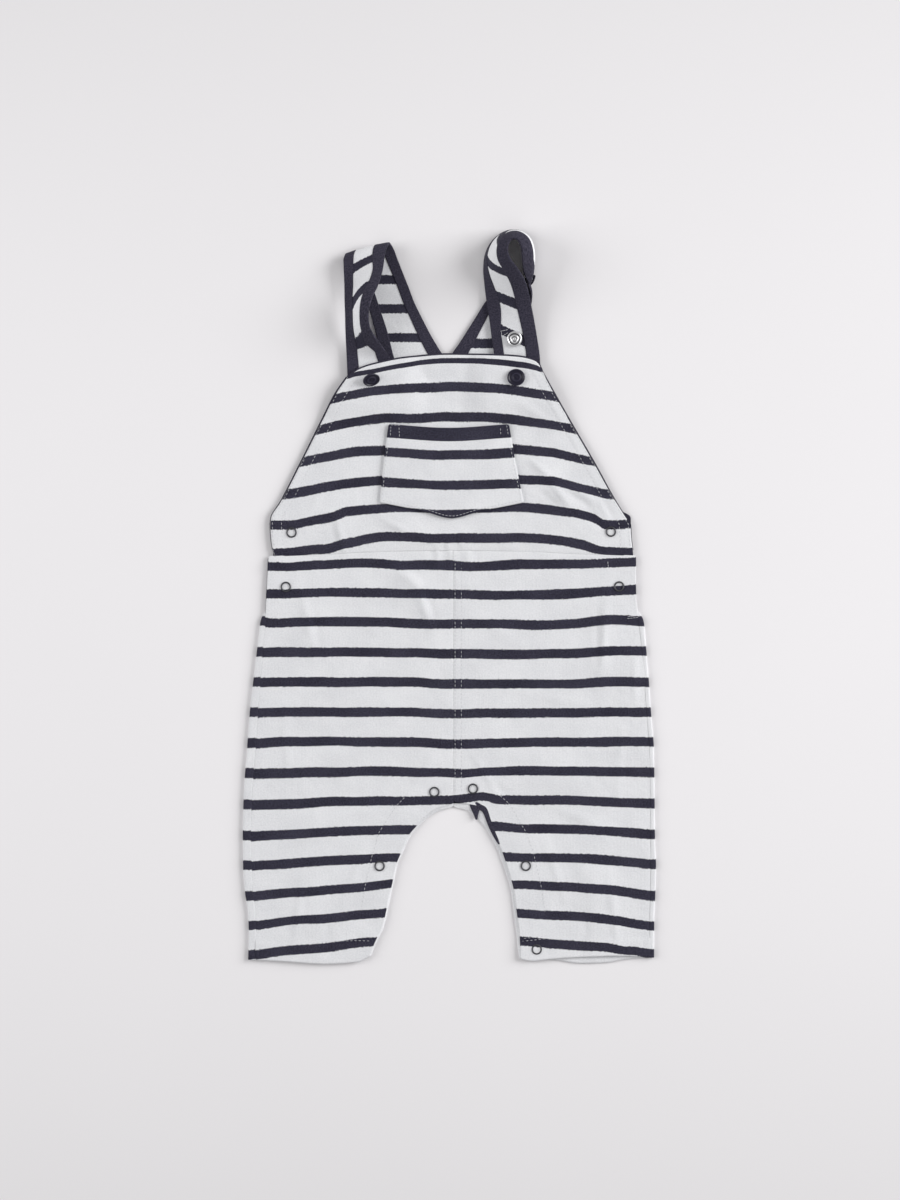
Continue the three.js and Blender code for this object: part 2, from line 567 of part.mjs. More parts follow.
const legs = [
  { name: 'left', side: SIDE_LEFT, inner: INNER_LEFT, hem: HEM_LEFT, backHem: HEM_LEFT, mirror: 1 },
  {
    name: 'right', side: SIDE_RIGHT, inner: INNER_RIGHT, hem: HEM_RIGHT, backHem: HEM_RIGHT_BACK,
    mirror: -1,
  },
];
for (const leg of legs) {
  add(`front_leg_${leg.name}`, frontLegGeometry({ ...leg, columns: 9 }), cloth);
  add(`back_leg_${leg.name}`, backLegGeometry({ ...leg, hem: leg.backHem }), cloth);
}

add('back_bodice', bodiceGeometry(), cloth);
add('back_binding_left', backBindingGeometry(BODICE_LEFT, 1), tape);
add('back_binding_right', backBindingGeometry(BODICE_RIGHT, -1), tape);

const straps = [
  { name: 'strap_left', table: STRAP_LEFT, mirror: 1 },
  { name: 'strap_right', table: STRAP_RIGHT, mirror: -1 },
];
for (const { name, table, mirror } of straps) {
  const from = BINDING_SHARE;
  const to = 1 - BINDING_SHARE;
  const inside = [from, lerp(from, to, 1 / 3), lerp(from, to, 2 / 3), to];
  add(name, strapWall(table, inside, CLOTH, mirror), cloth);
  add(`${name}_binding_outer`, strapWall(table, [0, from - SEAM_SHARE], BINDING, mirror), tape);
  add(`${name}_binding_inner`, strapWall(table, [to + SEAM_SHARE, 1], BINDING, mirror), tape);
}

// Ring studs on the front, each on the cloth where the picture shows it
const RINGS = [
  { name: 'stud_hip_left_high', x: -108.2, y: 288.4 },
  { name: 'stud_hip_left_low', x: -112, y: 252 },
  { name: 'stud_hip_right_high', x: 105.8, y: 289 },
  { name: 'stud_hip_right_low', x: 111.3, y: 252.3 },
  { name: 'stud_crotch_left', x: -12.5, y: 114.6 },
  { name: 'stud_crotch_right', x: 13.4, y: 116.8 },
  { name: 'stud_leg_left', x: -49.2, y: 65 },
  { name: 'stud_leg_right', x: 48.8, y: 65.1 },
  { name: 'stud_hem_right', x: 56.1, y: 9.1 },
];

// Highest point of the front under a round piece.
function seatHeight(x, y, radius) {
  let height = frontTop(x, y);
  for (let step = 0; step < 8; step += 1) {
    const angle = (Math.PI * step) / 4;
    height = Math.max(height, frontTop(x + radius * Math.cos(angle), y + radius * Math.sin(angle)));
  }
  return height;
}

for (const { name, x, y } of RINGS) {
  const ring = add(name, ringGeometry(RING), steel);
  ring.position.set(x, y, seatHeight(x, y, RING.outer) + HALF_GAP);
}

// Navy caps on the bib: tip is how far one leans with the cloth, about a line turned in plan.
const BIB_CAPS = [
  { name: 'cap_bib_left', x: -54.7, y: 390.7, tip: 24, turn: 25 },
  { name: 'cap_bib_right', x: 42.2, y: 392.1, tip: 0, turn: 0 },
];
for (const { name, x, y, tip, turn } of BIB_CAPS) {
  const cap = add(name, capGeometry(CAP), lacquer);
  const lean = THREE.MathUtils.degToRad(tip);
  const line = THREE.MathUtils.degToRad(turn);
  const rise = (CAP.radius - CAP.rim) * Math.sin(lean);
  cap.position.set(x, y, seatHeight(x, y, CAP.radius) + GAP + rise);
  cap.quaternion.setFromAxisAngle(new THREE.Vector3(Math.cos(line), Math.sin(line), 0), lean);
}

// Studs on the right strap: a bright one on its front, a navy one on the side of its loop
const STRAP_STUDS = [
  { name: 'stud_strap_right', size: STRAP_STUD, row: 22, share: 0.5, material: steel },
  { name: 'cap_strap_right', size: SIDE_CAP, row: 7.7, share: 0.58, material: lacquer },
];
for (const { name, size, row, share, material } of STRAP_STUDS) {
  const stud = add(name, capGeometry(size), material);
  const { point, normal } = strapFrame(STRAP_RIGHT, row, share, -1);
  stud.position.copy(point).addScaledVector(normal, CLOTH / 2 + GAP);
  stud.quaternion.setFromUnitVectors(new THREE.Vector3(0, 0, 1), normal);
}

// The origin goes under the middle of the garment's box.
const box = new THREE.Box3().setFromObject(garment);
const centre = box.getCenter(new THREE.Vector3());
garment.position.set(-centre.x, -centre.y, -box.min.z);

export default garment;
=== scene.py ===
import math

import bmesh
import bpy
from mathutils import Matrix, Vector, noise


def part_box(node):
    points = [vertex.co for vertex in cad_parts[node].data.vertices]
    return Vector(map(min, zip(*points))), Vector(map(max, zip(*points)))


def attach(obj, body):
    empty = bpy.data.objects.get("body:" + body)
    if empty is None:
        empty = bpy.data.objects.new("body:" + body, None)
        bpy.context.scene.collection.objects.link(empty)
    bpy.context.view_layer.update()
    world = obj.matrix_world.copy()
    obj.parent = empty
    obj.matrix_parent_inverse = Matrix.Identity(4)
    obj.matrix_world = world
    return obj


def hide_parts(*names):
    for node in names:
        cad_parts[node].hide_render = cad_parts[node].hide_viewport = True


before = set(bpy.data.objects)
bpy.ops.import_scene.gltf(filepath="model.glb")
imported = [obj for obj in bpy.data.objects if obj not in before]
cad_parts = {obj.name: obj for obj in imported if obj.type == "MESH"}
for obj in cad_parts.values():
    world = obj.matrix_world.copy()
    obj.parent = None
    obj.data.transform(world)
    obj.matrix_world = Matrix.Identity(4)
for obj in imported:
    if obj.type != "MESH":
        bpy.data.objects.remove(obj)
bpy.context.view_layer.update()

scene = bpy.context.scene

# Baby dungarees on their back. Lengths are millimetres in the garment's own frame: x right from the
# centre front seam, y up from the hems, z up from the table. Left and right are as seen from above.
photo = {"pixel": 0.67, "seam": 453, "hem": 963, "width": 900, "height": 1200}
clothThick = 1.2
frontUnder = 1.5  # underside of the front where it lies on the back
stripePitch = 20
stripeHalf = 3.2
farInside, farOutside = 9, -9  # for a place far from every band edge

pocketLow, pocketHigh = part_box("pocket")
shift = Vector((pocketLow.x * 1000 + 49.2, pocketHigh.y * 1000 - 361, 0))  # the pocket's corner gives it


def rowPoint(x, y, z):
    return (Vector((x, y, z)) + shift) * 0.001


def fromPhoto(px, py):
    return (px - photo["seam"]) * photo["pixel"], (photo["hem"] - py) * photo["pixel"]


def toPhoto(x, y):
    return photo["seam"] + x / photo["pixel"], photo["hem"] - y / photo["pixel"]


def ease(value):
    value = min(max(value, 0), 1)
    return value * value * (3 - 2 * value)


def lerp(a, b, share):
    return a + (b - a) * share


def slopeAt(points, step):
    near, here, far = points[max(step - 1, 0)], points[step], points[min(step + 1, len(points) - 1)]
    if near is here or far is here:
        return (far[1] - near[1]) / (far[0] - near[0])
    before, after = (here[1] - near[1]) / (here[0] - near[0]), (far[1] - here[1]) / (far[0] - here[0])
    return 2 * before * after / (before + after) if before * after > 0 else 0


def curve(points, at):  # smooth line through (key, value) pairs, with no overshoot
    if at <= points[0][0]:
        return points[0][1]
    if at >= points[-1][0]:
        return points[-1][1]
    step = next(i for i in range(len(points) - 1) if at <= points[i + 1][0])
    (x0, y0), (x1, y1) = points[step], points[step + 1]
    wide = x1 - x0
    t = (at - x0) / wide
    bend = slopeAt(points, step) * (1 - t) - slopeAt(points, step + 1) * t
    return lerp(y0, y1, ease(t)) + bend * wide * t * (1 - t)


# Outlines: (y, x) up the sides, (share across, y) along the top, waist and hems
bibShape = {
    "left": [(274.7, -120.9), (284, -122.3), (294, -122.9), (299, -122.2), (308, -116.6), (334, -103.2),
             (366, -87.2), (381, -79.4), (393.3, -71)],
    "right": [(274, 121.3), (284, 119.9), (294, 119.3), (298, 116.6), (312, 107.9), (334, 95.8),
              (356, 83.1), (379, 69.7), (396.6, 60)],
    "top": [(0, 393.3), (0.07, 399.2), (0.15, 402.4), (0.3, 406.2), (0.52, 408.5), (0.78, 407.8),
            (0.88, 407), (0.96, 404.6), (0.985, 402), (1, 397)],
    # How far the top stripe's middle is below the top edge, and its half width, by share across
    "topStripe": [(0, 0.4), (0.036, 3), (0.1, 5.4), (0.17, 6.2), (0.29, 6), (0.4, 5.1), (0.63, 4.9),
                  (0.78, 5.6), (0.885, 6.4), (0.96, 6.3), (0.985, 4.8), (1, 0)],
    "topStripeHalf": [(0, 1.8), (0.3, 1.7), (0.63, 1.8), (0.78, 2.1), (0.96, 2.2), (0.985, 1.9),
                      (1, 1.5)],
    "topBare": 12,  # no other stripe this near the top
    "topRoll": (2.6, 2, 0.45),  # how far down, half width and height
    "waist": [(0, 272.4), (0.12, 273.4), (0.33, 275.8), (0.5, 276.3), (0.7, 275.6), (0.85, 274),
              (1, 272.8)],
    "facing": [(278, 0.45), (300, 0.6), (325, 1.05), (380, 1.15)],  # how far it shows, by height
    "stitches": (1.6, 7),  # from the edge to each row of topstitching
    "slant": 0.88,  # distance from a slanting side, for 1 along x
}
pocketShape = {
    "left": [(308.5, -49.2), (336, -46.5), (361, -43.2)],
    "right": [(308.5, 47.6), (332, 42.6), (361, 37.5)],
    "mouth": [(0, 361), (0.5, 358.5), (1, 361)],
    "foot": [(0, 308.5), (0.3, 302.8), (0.5, 297.9), (0.68, 302.2), (1, 308.5)],
    "hem": 9,
}
leftLeg = {
    "mirror": 1,
    "seam": [(0, -132), (21, -132.3), (34, -132.6), (48, -134.6), (65, -135.2), (88, -135.7),
             (116, -134.7), (140, -132.9), (168, -131), (191, -129.1), (212, -127.6), (232, -125.6),
             (250, -124.6), (276, -123.4)],
    "fold": [(0, -137.4), (21, -137), (34, -137.6), (48, -139.6), (65, -140.8), (88, -141),
             (116, -140.2), (140, -138.4), (168, -136.3), (191, -133.7), (212, -131.2), (226, -129.6),
             (232.6, -128.3), (234.4, -124.9), (250, -124), (276, -122)],
    "front": [(0, -56), (5.4, -54.3), (13.4, -51.6), (21.4, -48.2), (38.9, -44.2), (55.6, -40.5),
              (66.3, -38.2), (75.7, -34.2), (85.1, -30.2), (92.5, -24.1), (98.5, -18.8),
              (103.9, -10.7), (106.5, 0)],
    "back": [(0, -55), (5.4, -53.3), (13.4, -50.6), (21.4, -47.2), (38.9, -43.2), (55.6, -39.6),
             (66.3, -37.2), (75.7, -33), (85.1, -28.6), (92.5, -22.4), (98.5, -15.6), (102.6, -8),
             (104.2, 0)],
    "hem": [(0, 2), (0.25, 1), (0.6, -0.7), (0.9, 0.7), (1, 4.6)],  # the back's too
}
rightLeg = {
    "mirror": -1,
    "seam": [(0, 132), (27, 132), (45, 132.3), (65, 132.7), (85, 132.7), (125, 132.3), (145, 131.7),
             (166, 130), (186, 128.6), (212, 126.6), (232, 124), (250, 122.4), (276, 122.4)],
    "fold": [(0, 134.9), (27, 135), (45, 135.7), (65, 136.2), (85, 135.5), (125, 135.1), (145, 134.7),
             (166, 133), (186, 131.6), (212, 129.5), (226, 128.4), (232.6, 127), (234.4, 123),
             (250, 122.2), (276, 121)],
    "front": [(0, 45.6), (18.1, 44.9), (34.8, 42.9), (48.2, 41.2), (59, 38.3), (73, 33.8),
              (86.4, 28.1), (95.8, 24.8), (100.5, 23.2), (103.9, 21), (106.5, 12), (107.7, 0)],
    "back": [(0, 44.4), (18.1, 42.6), (34.8, 40.6), (50.3, 38.8), (59, 36), (67.7, 33), (75.7, 30),
             (86.4, 24.8), (92.5, 20.4), (95.8, 17.2), (100.5, 13.4), (103, 8), (104.2, 0)],
    "hem": [(0, 2.7), (0.08, 1.3), (0.25, 2.7), (0.5, 4), (0.8, 4.7), (1, 3.8)],
    "backHem": [(0, 2.9), (0.25, 1.9), (0.46, -0.5), (0.64, 0), (0.8, 2.4), (1, 3.6)],
}
legShapes = {"left": leftLeg, "right": rightLeg}
legRise = {
    "hemReach": 30, "hemRoll": 13.5, "hemStitch": 14, "waist": 276, "waistFrom": 255, "lapFrom": 272,
    "lastWrapped": 232, "crotch": 106.5, "crotchLap": 97, "facing": 12, "seamStep": 0.6,
    "underFront": 0.55,
}
seamLap = 0.3  # each side of a seam
waistGap = 0.15
backShape = {
    "left": [(276, -121.6), (292, -119), (300, -112.5), (312, -104), (335, -88), (360, -72), (385, -58),
             (404, -49.2)],
    "right": [(276, 118.5), (290, 119), (299, 119.3), (300.8, 118.2), (302.4, 113.5), (305, 109.5),
              (312, 103), (335, 86), (360, 70), (385, 57), (404, 47.9)],
    "foot": 276.7,
    "neck": 404,
    "tape": 5,
    "tapeGap": 0.3,
    "stripeShift": 5,  # below the bib's stripes
}

# Where each stripe crosses some photo columns, from the top down
bibStripes = {
    "columns": [270, 290, 310, 330, 350, 390, 420, 450, 480, 510, 550, 580, 594, 606, 630],
    "first": 1,
    "rows": [
        [413, 409, 405, 400, 396, 390, 388, 387, 388, 390, 396, 402, 405, 407, 411],
        [438, 435, 432, 427, 423, 418, 418, 417, 417, 419, 425, 431, 434, 436, 439],
        [467, 464, 460, 456, 452, 450, 448, 447, 447, 449, 452, 459, 462, 464, 467],
        [497, 494, 491, 486.5, 483, 480, 479, 478, 478, 479, 481, 488, 491, 493.5, 497],
        [525, 525, 521, 517.5, 511.5, 508, 507.6, 507.8, 507.6, 507, 510, 514, 518, 525, 523.5],
        [553, 552, 549.5, 547.5, 542.5, 536.5, 537, 538, 538, 538, 540, 544, 547.3, 550, 552],
    ],
}
legStripes = {
    "columns": [250, 290, 330, 370, 410, 450, 490, 530, 570, 610, 650],
    "first": 7,
    "rows": [
        [566, 566.4, 564, 563, 565, 565, 566, 564, 564, 563, 561],
        [594, 593.5, 592.5, 593, 594, 594, 595, 595, 594, 591, 589],
        [623, 622, 622, 622, 623, 624, 624, 625, 624, 620, 622],
        [653, 652, 652, 652, 653, 654, 654, 654, 654, 651, 651],
        [683, 682, 682, 682, 682, 684, 684, 684, 684, 682, 682],
        [713, 712, 712, 712, 712, 714, 713, 713, 713, 712, 712],
        [744, 742, 742, 742, 742, 744, 743, 742, 742, 742, 742],
        [774, 773, 772, 771, 772, 773, 772, 771, 771, 772, 772],
        [806, 804, 802, 801, 801, 800, 798, 800, 800, 802, 804],
        [836, 834, 832, 830, 830, 828, 826, 829, 829, 831, 834],
        [866, 864, 861, 859, 858, 857, 857, 857, 858, 860, 864],
        [897, 893, 890, 886, 882, 881, 884, 886, 887, 890, 896],
        [926, 921, 918, 914, 911, 911, 912, 914, 916, 920, 926],
        [956, 950, 947, 942, 940, 940, 940, 942, 945, 948, 954],
    ],
}
pocketStripes = {
    "columns": [380, 415, 450, 485, 525],
    "first": 2,
    "rows": [
        [424, 424, 424, 423, 423],
        [451, 454, 455.4, 454.4, 452],
        [481.6, 484, 485.4, 485, 483.4],
        [512, 513, 514, 513, 512],
    ],
}
stripeWander = {"size": 0.045, "reach": 0.9}
stripeKinks = [  # px, py, half sizes, lift
    (480, 799, 14, 14, 2.2), (499, 801, 9, 10, -1.8), (458, 782, 12, 12, -0.8), (276, 624, 12, 9, -1),
    (262, 621, 5, 9, 1.2), (340, 545, 7, 9, 1.2), (325, 549, 8, 8, -0.7), (345, 513, 6, 8, 0.9),
    (286, 564, 12, 9, -1.1), (598, 949, 12, 8, 1), (622, 947, 9, 8, -1.2), (636, 953, 6, 7, 0.9),
    (470, 566, 22, 7, -1.2), (449, 561, 6, 7, 0.9), (401, 565, 12, 8, -1), (428, 537, 9, 8, -1),
    (596, 547, 8, 8, -1.2), (574, 515, 8, 8, 0.9), (300, 922, 14, 8, 1), (524, 853, 16, 8, -0.8),
    (528, 885, 16, 8, 0.9), (262, 866, 8, 8, 0.7), (404, 716, 30, 9, 0.8), (560, 655, 24, 9, 0.7),
    (468, 772, 9, 9, -0.9), (520, 743, 26, 9, -0.8), (330, 742, 24, 9, 0.8),
]


def stripeCount(stripes, x, y):  # whole numbers at the middle of each stripe, growing downwards
    px, py = toPhoto(x, y)
    py += stripeWander["reach"] * noise.noise(Vector((x, y * 1.4, 9)) * stripeWander["size"])
    for kinkX, kinkY, wide, high, lift in stripeKinks:
        py += lift * math.exp(-(((px - kinkX) / wide) ** 2) - ((py - kinkY) / high) ** 2)
    columns, rows = stripes["columns"], stripes["rows"]
    crossings = [curve(list(zip(columns, row)), px) for row in rows]
    if py <= crossings[0]:
        return stripes["first"] + (py - crossings[0]) * photo["pixel"] / stripePitch
    for step in range(len(crossings) - 1):
        if py <= crossings[step + 1]:
            share = (py - crossings[step]) / (crossings[step + 1] - crossings[step])
            return stripes["first"] + step + share
    return stripes["first"] + len(rows) - 1 + (py - crossings[-1]) * photo["pixel"] / stripePitch


# Soft folds of the front: x, y, direction in degrees, half length, half width, height
softFolds = [
    (-38, 296, -30, 17, 7, 1.4), (-75, 287, -76, 12, 7, 1.2), (73, 313, -45, 16, 9, 1.2),
    (60, 332, -35, 14, 8, 1), (0, 284, 3, 30, 6, 1), (-32, 257, -34, 15, 7, 1.1),
    (-19, 238, -71, 17, 8, 1.1), (101, 218, 88, 26, 9, 1.2), (118, 190, 92, 26, 7, 1),
    (-95, 228, 100, 30, 10, 1), (-60, 150, 20, 34, 12, 1), (62, 128, -20, 32, 12, 1),
    (-92, 40, 80, 30, 12, 1.2), (96, 44, 95, 32, 12, 1.2),
]
# Narrower creases and dents on them
creases = [
    (-36, 292, -32, 12, 2.2, 0.6), (-40, 296, -28, 9, 1.8, -0.4), (-75, 285, -76, 9, 1.8, 0.5),
    (-79, 287, -74, 8, 1.8, -0.4), (72, 314, -52, 11, 2.2, 0.5), (66, 309, -44, 10, 2, -0.35),
    (87, 314, -32, 9, 2, 0.5), (84, 310, -34, 9, 1.8, -0.4), (101, 304, -65, 9, 1.8, 0.4),
    (95, 296, -40, 9, 2, -0.35), (59, 331, -38, 10, 2, 0.45), (-14, 274, 88, 5, 1.3, -0.5),
    (-10, 273, 92, 6, 1.3, 0.5), (-6, 274, 86, 5, 1.3, -0.45), (-1, 273, 90, 6, 1.4, 0.4),
    (5, 272, 95, 6, 1.3, -0.35), (10, 273, 88, 6, 1.5, 0.35), (16, 272, 84, 5, 1.4, -0.3),
    (-4, 281, 84, 5, 1.4, 0.35), (6, 282, 96, 5, 1.5, 0.3), (-18, 283, -20, 8, 1.6, 0.35),
    (-30, 258, -34, 11, 2, 0.55), (-26, 262, -38, 8, 1.8, -0.35), (-19, 237, -71, 12, 2, 0.5),
    (-15, 240, -68, 10, 1.8, -0.4), (101, 216, 86, 22, 2.4, 0.45), (97, 220, 90, 18, 2.2, -0.4),
    (122, 190, 90, 18, 2, 0.4), (-98, 232, 104, 22, 2.6, 0.35), (-91, 222, 96, 20, 2.8, -0.3),
    (-70, 190, 14, 26, 4, 0.35), (60, 180, -12, 28, 4, 0.3), (30, 222, -30, 16, 3, 0.3),
    (-56, 212, 60, 16, 3, 0.3), (-20, 128, 58, 16, 2.4, 0.4), (22, 126, -58, 16, 2.4, 0.4),
    (-31, 116, 40, 14, 2.4, -0.3), (34, 114, -38, 14, 2.4, -0.3), (-86, 92, 30, 24, 4, 0.35),
    (88, 96, -24, 26, 4, 0.35), (-66, 60, 70, 18, 3, 0.35), (70, 58, 108, 18, 3, 0.35),
    (-104, 30, 84, 22, 3, 0.4), (108, 32, 96, 22, 3, 0.4), (-84, 18, 96, 14, 2.6, -0.3),
    (88, 20, 84, 14, 2.6, -0.3), (-112, 150, 95, 24, 3, 0.3), (112, 140, 86, 22, 3, 0.3),
    (-60, 360, 30, 16, 3, 0.35), (58, 366, -34, 14, 3, 0.35), (-90, 312, 62, 16, 3, 0.35),
    (96, 306, -60, 14, 3, 0.3), (-20, 386, 8, 22, 3, 0.35), (12, 374, -6, 20, 3, -0.25),
]
creaseRise = 2.1
bibLift = {
    "ends": [(-54.5, 376), (43.5, 376)],  # strap ends below the bib
    "endLift": 3.4, "endHalf": 20, "topLift": 1.2, "topFrom": 386, "soft": 20,
}


def foldHeight(folds, x, y):
    height = 0
    for foldX, foldY, turn, long, wide, high in folds:
        dx, dy = x - foldX, y - foldY
        if abs(dx) + abs(dy) > 3 * (long + wide):
            continue
        c, s = math.cos(math.radians(turn)), math.sin(math.radians(turn))
        along, aside = (dx * c + dy * s) / long, (dy * c - dx * s) / wide
        height += high * math.exp(-along * along - aside * aside)
    return height


def shareAcross(x, end):  # between the bib's two sides, at their foot or top
    left, right = bibShape["left"][end][1], bibShape["right"][end][1]
    return (x - left) / (right - left)


def waistY(x):
    return curve(bibShape["waist"], shareAcross(x, 0))


seamDents = {  # half width and depth
    "waist": (1.6, 0.4), "centre": (1.3, 0.35), "besideCentre": (0.8, 0.15), "bibStitches": (0.9, 0.3),
    "pocketHem": (0.8, 0.25), "legHem": (0.9, 0.25), "sideSeam": (1.5, 0.15),
}
centreLap = 5.4  # from the centre seam to the dent beside it


def groove(distance, seam):
    wide, deep = seamDents[seam]
    return -deep * math.exp(-((distance / wide) ** 2))


def bibEdge(x, y):  # distance inside the bib's armholes and top
    fromLeft, fromRight = x - curve(bibShape["left"], y), curve(bibShape["right"], y) - x
    down = curve(bibShape["top"], shareAcross(x, -1)) - y
    return min(fromLeft * bibShape["slant"], fromRight * bibShape["slant"], down)


def frontMiddle(x, y):  # height of the front's middle surface
    lift = bibLift["topLift"] * ease((y - bibLift["topFrom"]) / bibLift["soft"])
    for endX, endY in bibLift["ends"]:
        beside = 1 - ease((abs(x - endX) - bibLift["endHalf"]) / bibLift["soft"])
        up = ease((y - endY + bibLift["soft"]) / bibLift["soft"])
        lift = max(lift, bibLift["endLift"] * beside * up)
    broad = foldHeight(softFolds, x, y)
    fine = creaseRise * foldHeight(creases, x, y)
    fine += 0.22 * noise.noise(Vector((x, y, 0)) * 0.05) + 0.1 * noise.noise(Vector((x, y, 4)) * 0.13)
    waist = y - waistY(x)
    fine += groove(waist, "waist")
    if waist < 0 and y > legRise["crotch"]:
        fine += groove(x, "centre") + groove(x - centreLap, "besideCentre")
    if waist > 0:
        edge, stitched = bibEdge(x, y), bibShape["stitches"][1]
        fine += 0.28 * (1 - ease((edge - stitched) / 1.5)) + groove(edge - stitched, "bibStitches")
    return frontUnder + clothThick / 2 + broad + lift + max(fine, -0.25 - 0.6 * broad)


def frontTop(x, y):
    return frontMiddle(x, y) + clothThick / 2


# Shader sockets that can be added and multiplied
class Field:
    def __init__(self, tree, socket):
        self.tree, self.socket = tree, socket

    def make(self, kind, settings, sockets, output=0):
        made = self.tree.nodes.new(kind)
        for name, value in settings.items():
            setattr(made, name, value)
        for name, value in sockets.items():
            if isinstance(value, Field):
                self.tree.links.new(value.socket, made.inputs[name])
            else:
                made.inputs[name].default_value = value
        return Field(self.tree, made.outputs[output])

    def math(self, operation, first, second=0):
        return self.make("ShaderNodeMath", {"operation": operation}, {0: first, 1: second})

    def __add__(self, other):
        return self.math("ADD", self, other)

    __radd__ = __add__

    def __sub__(self, other):
        return self.math("SUBTRACT", self, other)

    def __rsub__(self, other):
        return self.math("SUBTRACT", other, self)

    def __mul__(self, other):
        return self.math("MULTIPLY", self, other)

    __rmul__ = __mul__

    def __truediv__(self, other):
        return self.math("DIVIDE", self, other)

    def fadeOut(self, start, end):  # 1 below start, 0 past end
        return self.make("ShaderNodeMapRange", {"interpolation_type": "SMOOTHSTEP"}, {
            "Value": self, "From Min": start, "From Max": end, "To Min": 1.0, "To Max": 0.0})

    def blend(self, below, above):  # colours by this value
        return self.make("ShaderNodeMix", {"data_type": "RGBA"}, {0: self, 6: below, 7: above}, 2)

    def stored(self, name, output=2):
        return self.make("ShaderNodeAttribute", {"attribute_name": name}, {}, output)

    def place(self):  # in the object's own metres
        return self.make("ShaderNodeTexCoord", {}, {}, 3)

    def parts(self):
        split = self.make("ShaderNodeSeparateXYZ", {}, {0: self})
        return [Field(self.tree, output) for output in split.socket.node.outputs]

    def speckle(self, scale, detail=2.0, rough=0.5):  # noise over these coordinates
        return self.make("ShaderNodeTexNoise", {}, {
            "Vector": self, "Scale": scale, "Detail": detail, "Roughness": rough})

    def bump(self, strength, distance):
        return self.make("ShaderNodeBump", {}, {
            "Height": self, "Strength": strength, "Distance": distance})


def newMaterial(name, constants):
    material = bpy.data.materials.new(name)
    material.use_nodes = True
    tree = material.node_tree
    shader = tree.nodes["Principled BSDF"]
    for socket, value in constants.items():
        shader.inputs[socket].default_value = value
    return material, shader, Field(tree, None)


def plug(shader, name, field):
    field.tree.links.new(field.socket, shader.inputs[name])


clothLook = {
    "white": (0.80, 0.803, 0.82, 1), "whiteShade": (0.625, 0.631, 0.655, 1),
    "navy": (0.012, 0.011, 0.023, 1), "navyLight": (0.054, 0.051, 0.080, 1),
    "wale": 0.95, "course": 0.72,  # the knit's columns and rows
}
tapeLook = {
    "dark": (0.011, 0.010, 0.021, 1), "light": (0.058, 0.053, 0.080, 1), "wale": 0.85, "course": 0.7,
}
knitDepth = 0.00018


def knitHeight(start, wale, course):  # V stitches in the piece's own millimetres
    flat = start.stored("flat", 1)
    across, along = flat.parts()[:2]
    wander = flat.speckle(0.5)
    column = start.math("PINGPONG", across / wale + wander * 0.25, 0.5)
    row = start.math("SINE", (along / course + column * 1.3 + wander * 0.3) * (2 * math.pi))
    return row * 0.5 + column * 1.6, flat


def jerseyMaterial():
    look = clothLook
    material, shader, start = newMaterial("stripedJersey", {
        "Roughness": 0.92, "Sheen Weight": 0.04, "Sheen Roughness": 0.5, "Specular IOR Level": 0.25,
        "Subsurface Weight": 0.3, "Subsurface Radius": (1, 1, 1), "Subsurface Scale": 0.0012})
    knit, flat = knitHeight(start, look["wale"], look["course"])
    stripe, band, bare = (start.stored(name) for name in ("stripe", "band", "bare"))
    ragged = flat.speckle(1.1, 1.0)
    off = start.math("PINGPONG", stripe, 0.5) * stripePitch + (ragged - 0.5) * 1.9
    navy = off.fadeOut(stripeHalf - 0.22, stripeHalf + 0.22)
    hem = 1 - (band + (ragged - 0.5) * 0.4).fadeOut(-0.15, 0.15)
    mask = start.math("MAXIMUM", navy * bare.fadeOut(-0.15, 0.15), hem)
    mottle = flat.speckle(1.1, 3.0, 0.7)
    stretched = start.make("ShaderNodeMapping", {}, {"Vector": flat, "Scale": (0.35, 2.2, 1.0)})
    streak = stretched.speckle(5.0)
    cloud = flat.speckle(0.04)
    shade = mottle * 2.2 + streak * 1.2 + cloud * 0.8 - knit * 0.2 - 1.6
    colour = mask.blend(shade.blend(look["white"], look["whiteShade"]),
                        shade.blend(look["navy"], look["navyLight"]))
    plug(shader, "Base Color", colour)
    crumple = flat.speckle(0.09, 3.0)
    plug(shader, "Normal", (knit + mottle * 0.6 + crumple * 14).bump(0.35, knitDepth))
    return material


def tapeMaterial(name, look):
    material, shader, start = newMaterial(name, {
        "Roughness": 0.9, "Sheen Weight": 0.05, "Sheen Roughness": 0.5, "Specular IOR Level": 0.25})
    knit, flat = knitHeight(start, look["wale"], look["course"])
    mottle = flat.speckle(1.2, 3.0)
    plug(shader, "Base Color", (mottle * 3 - 1.05).blend(look["dark"], look["light"]))
    plug(shader, "Normal", (knit + mottle * 0.5).bump(0.35, knitDepth))
    return material


def metalMaterial(name, colour, worn, roughness, metallic=0.0, coat=0.0):
    material, shader, start = newMaterial(name, {
        "Metallic": metallic, "Coat Weight": coat, "Coat Roughness": 0.2, "Specular IOR Level": 0.3})
    scuff = start.place().speckle(900.0, 4.0)
    plug(shader, "Base Color", scuff.blend(colour, worn))
    plug(shader, "Roughness", scuff * 0.15 + (roughness - 0.07))
    plug(shader, "Normal", scuff.bump(0.12, 0.0001))
    return material


def threadMaterial(name, colour, shadow):
    material, shader, start = newMaterial(name, {"Roughness": 0.7, "Specular IOR Level": 0.3})
    plug(shader, "Base Color", start.place().speckle(3000.0).blend(shadow, colour))
    return material


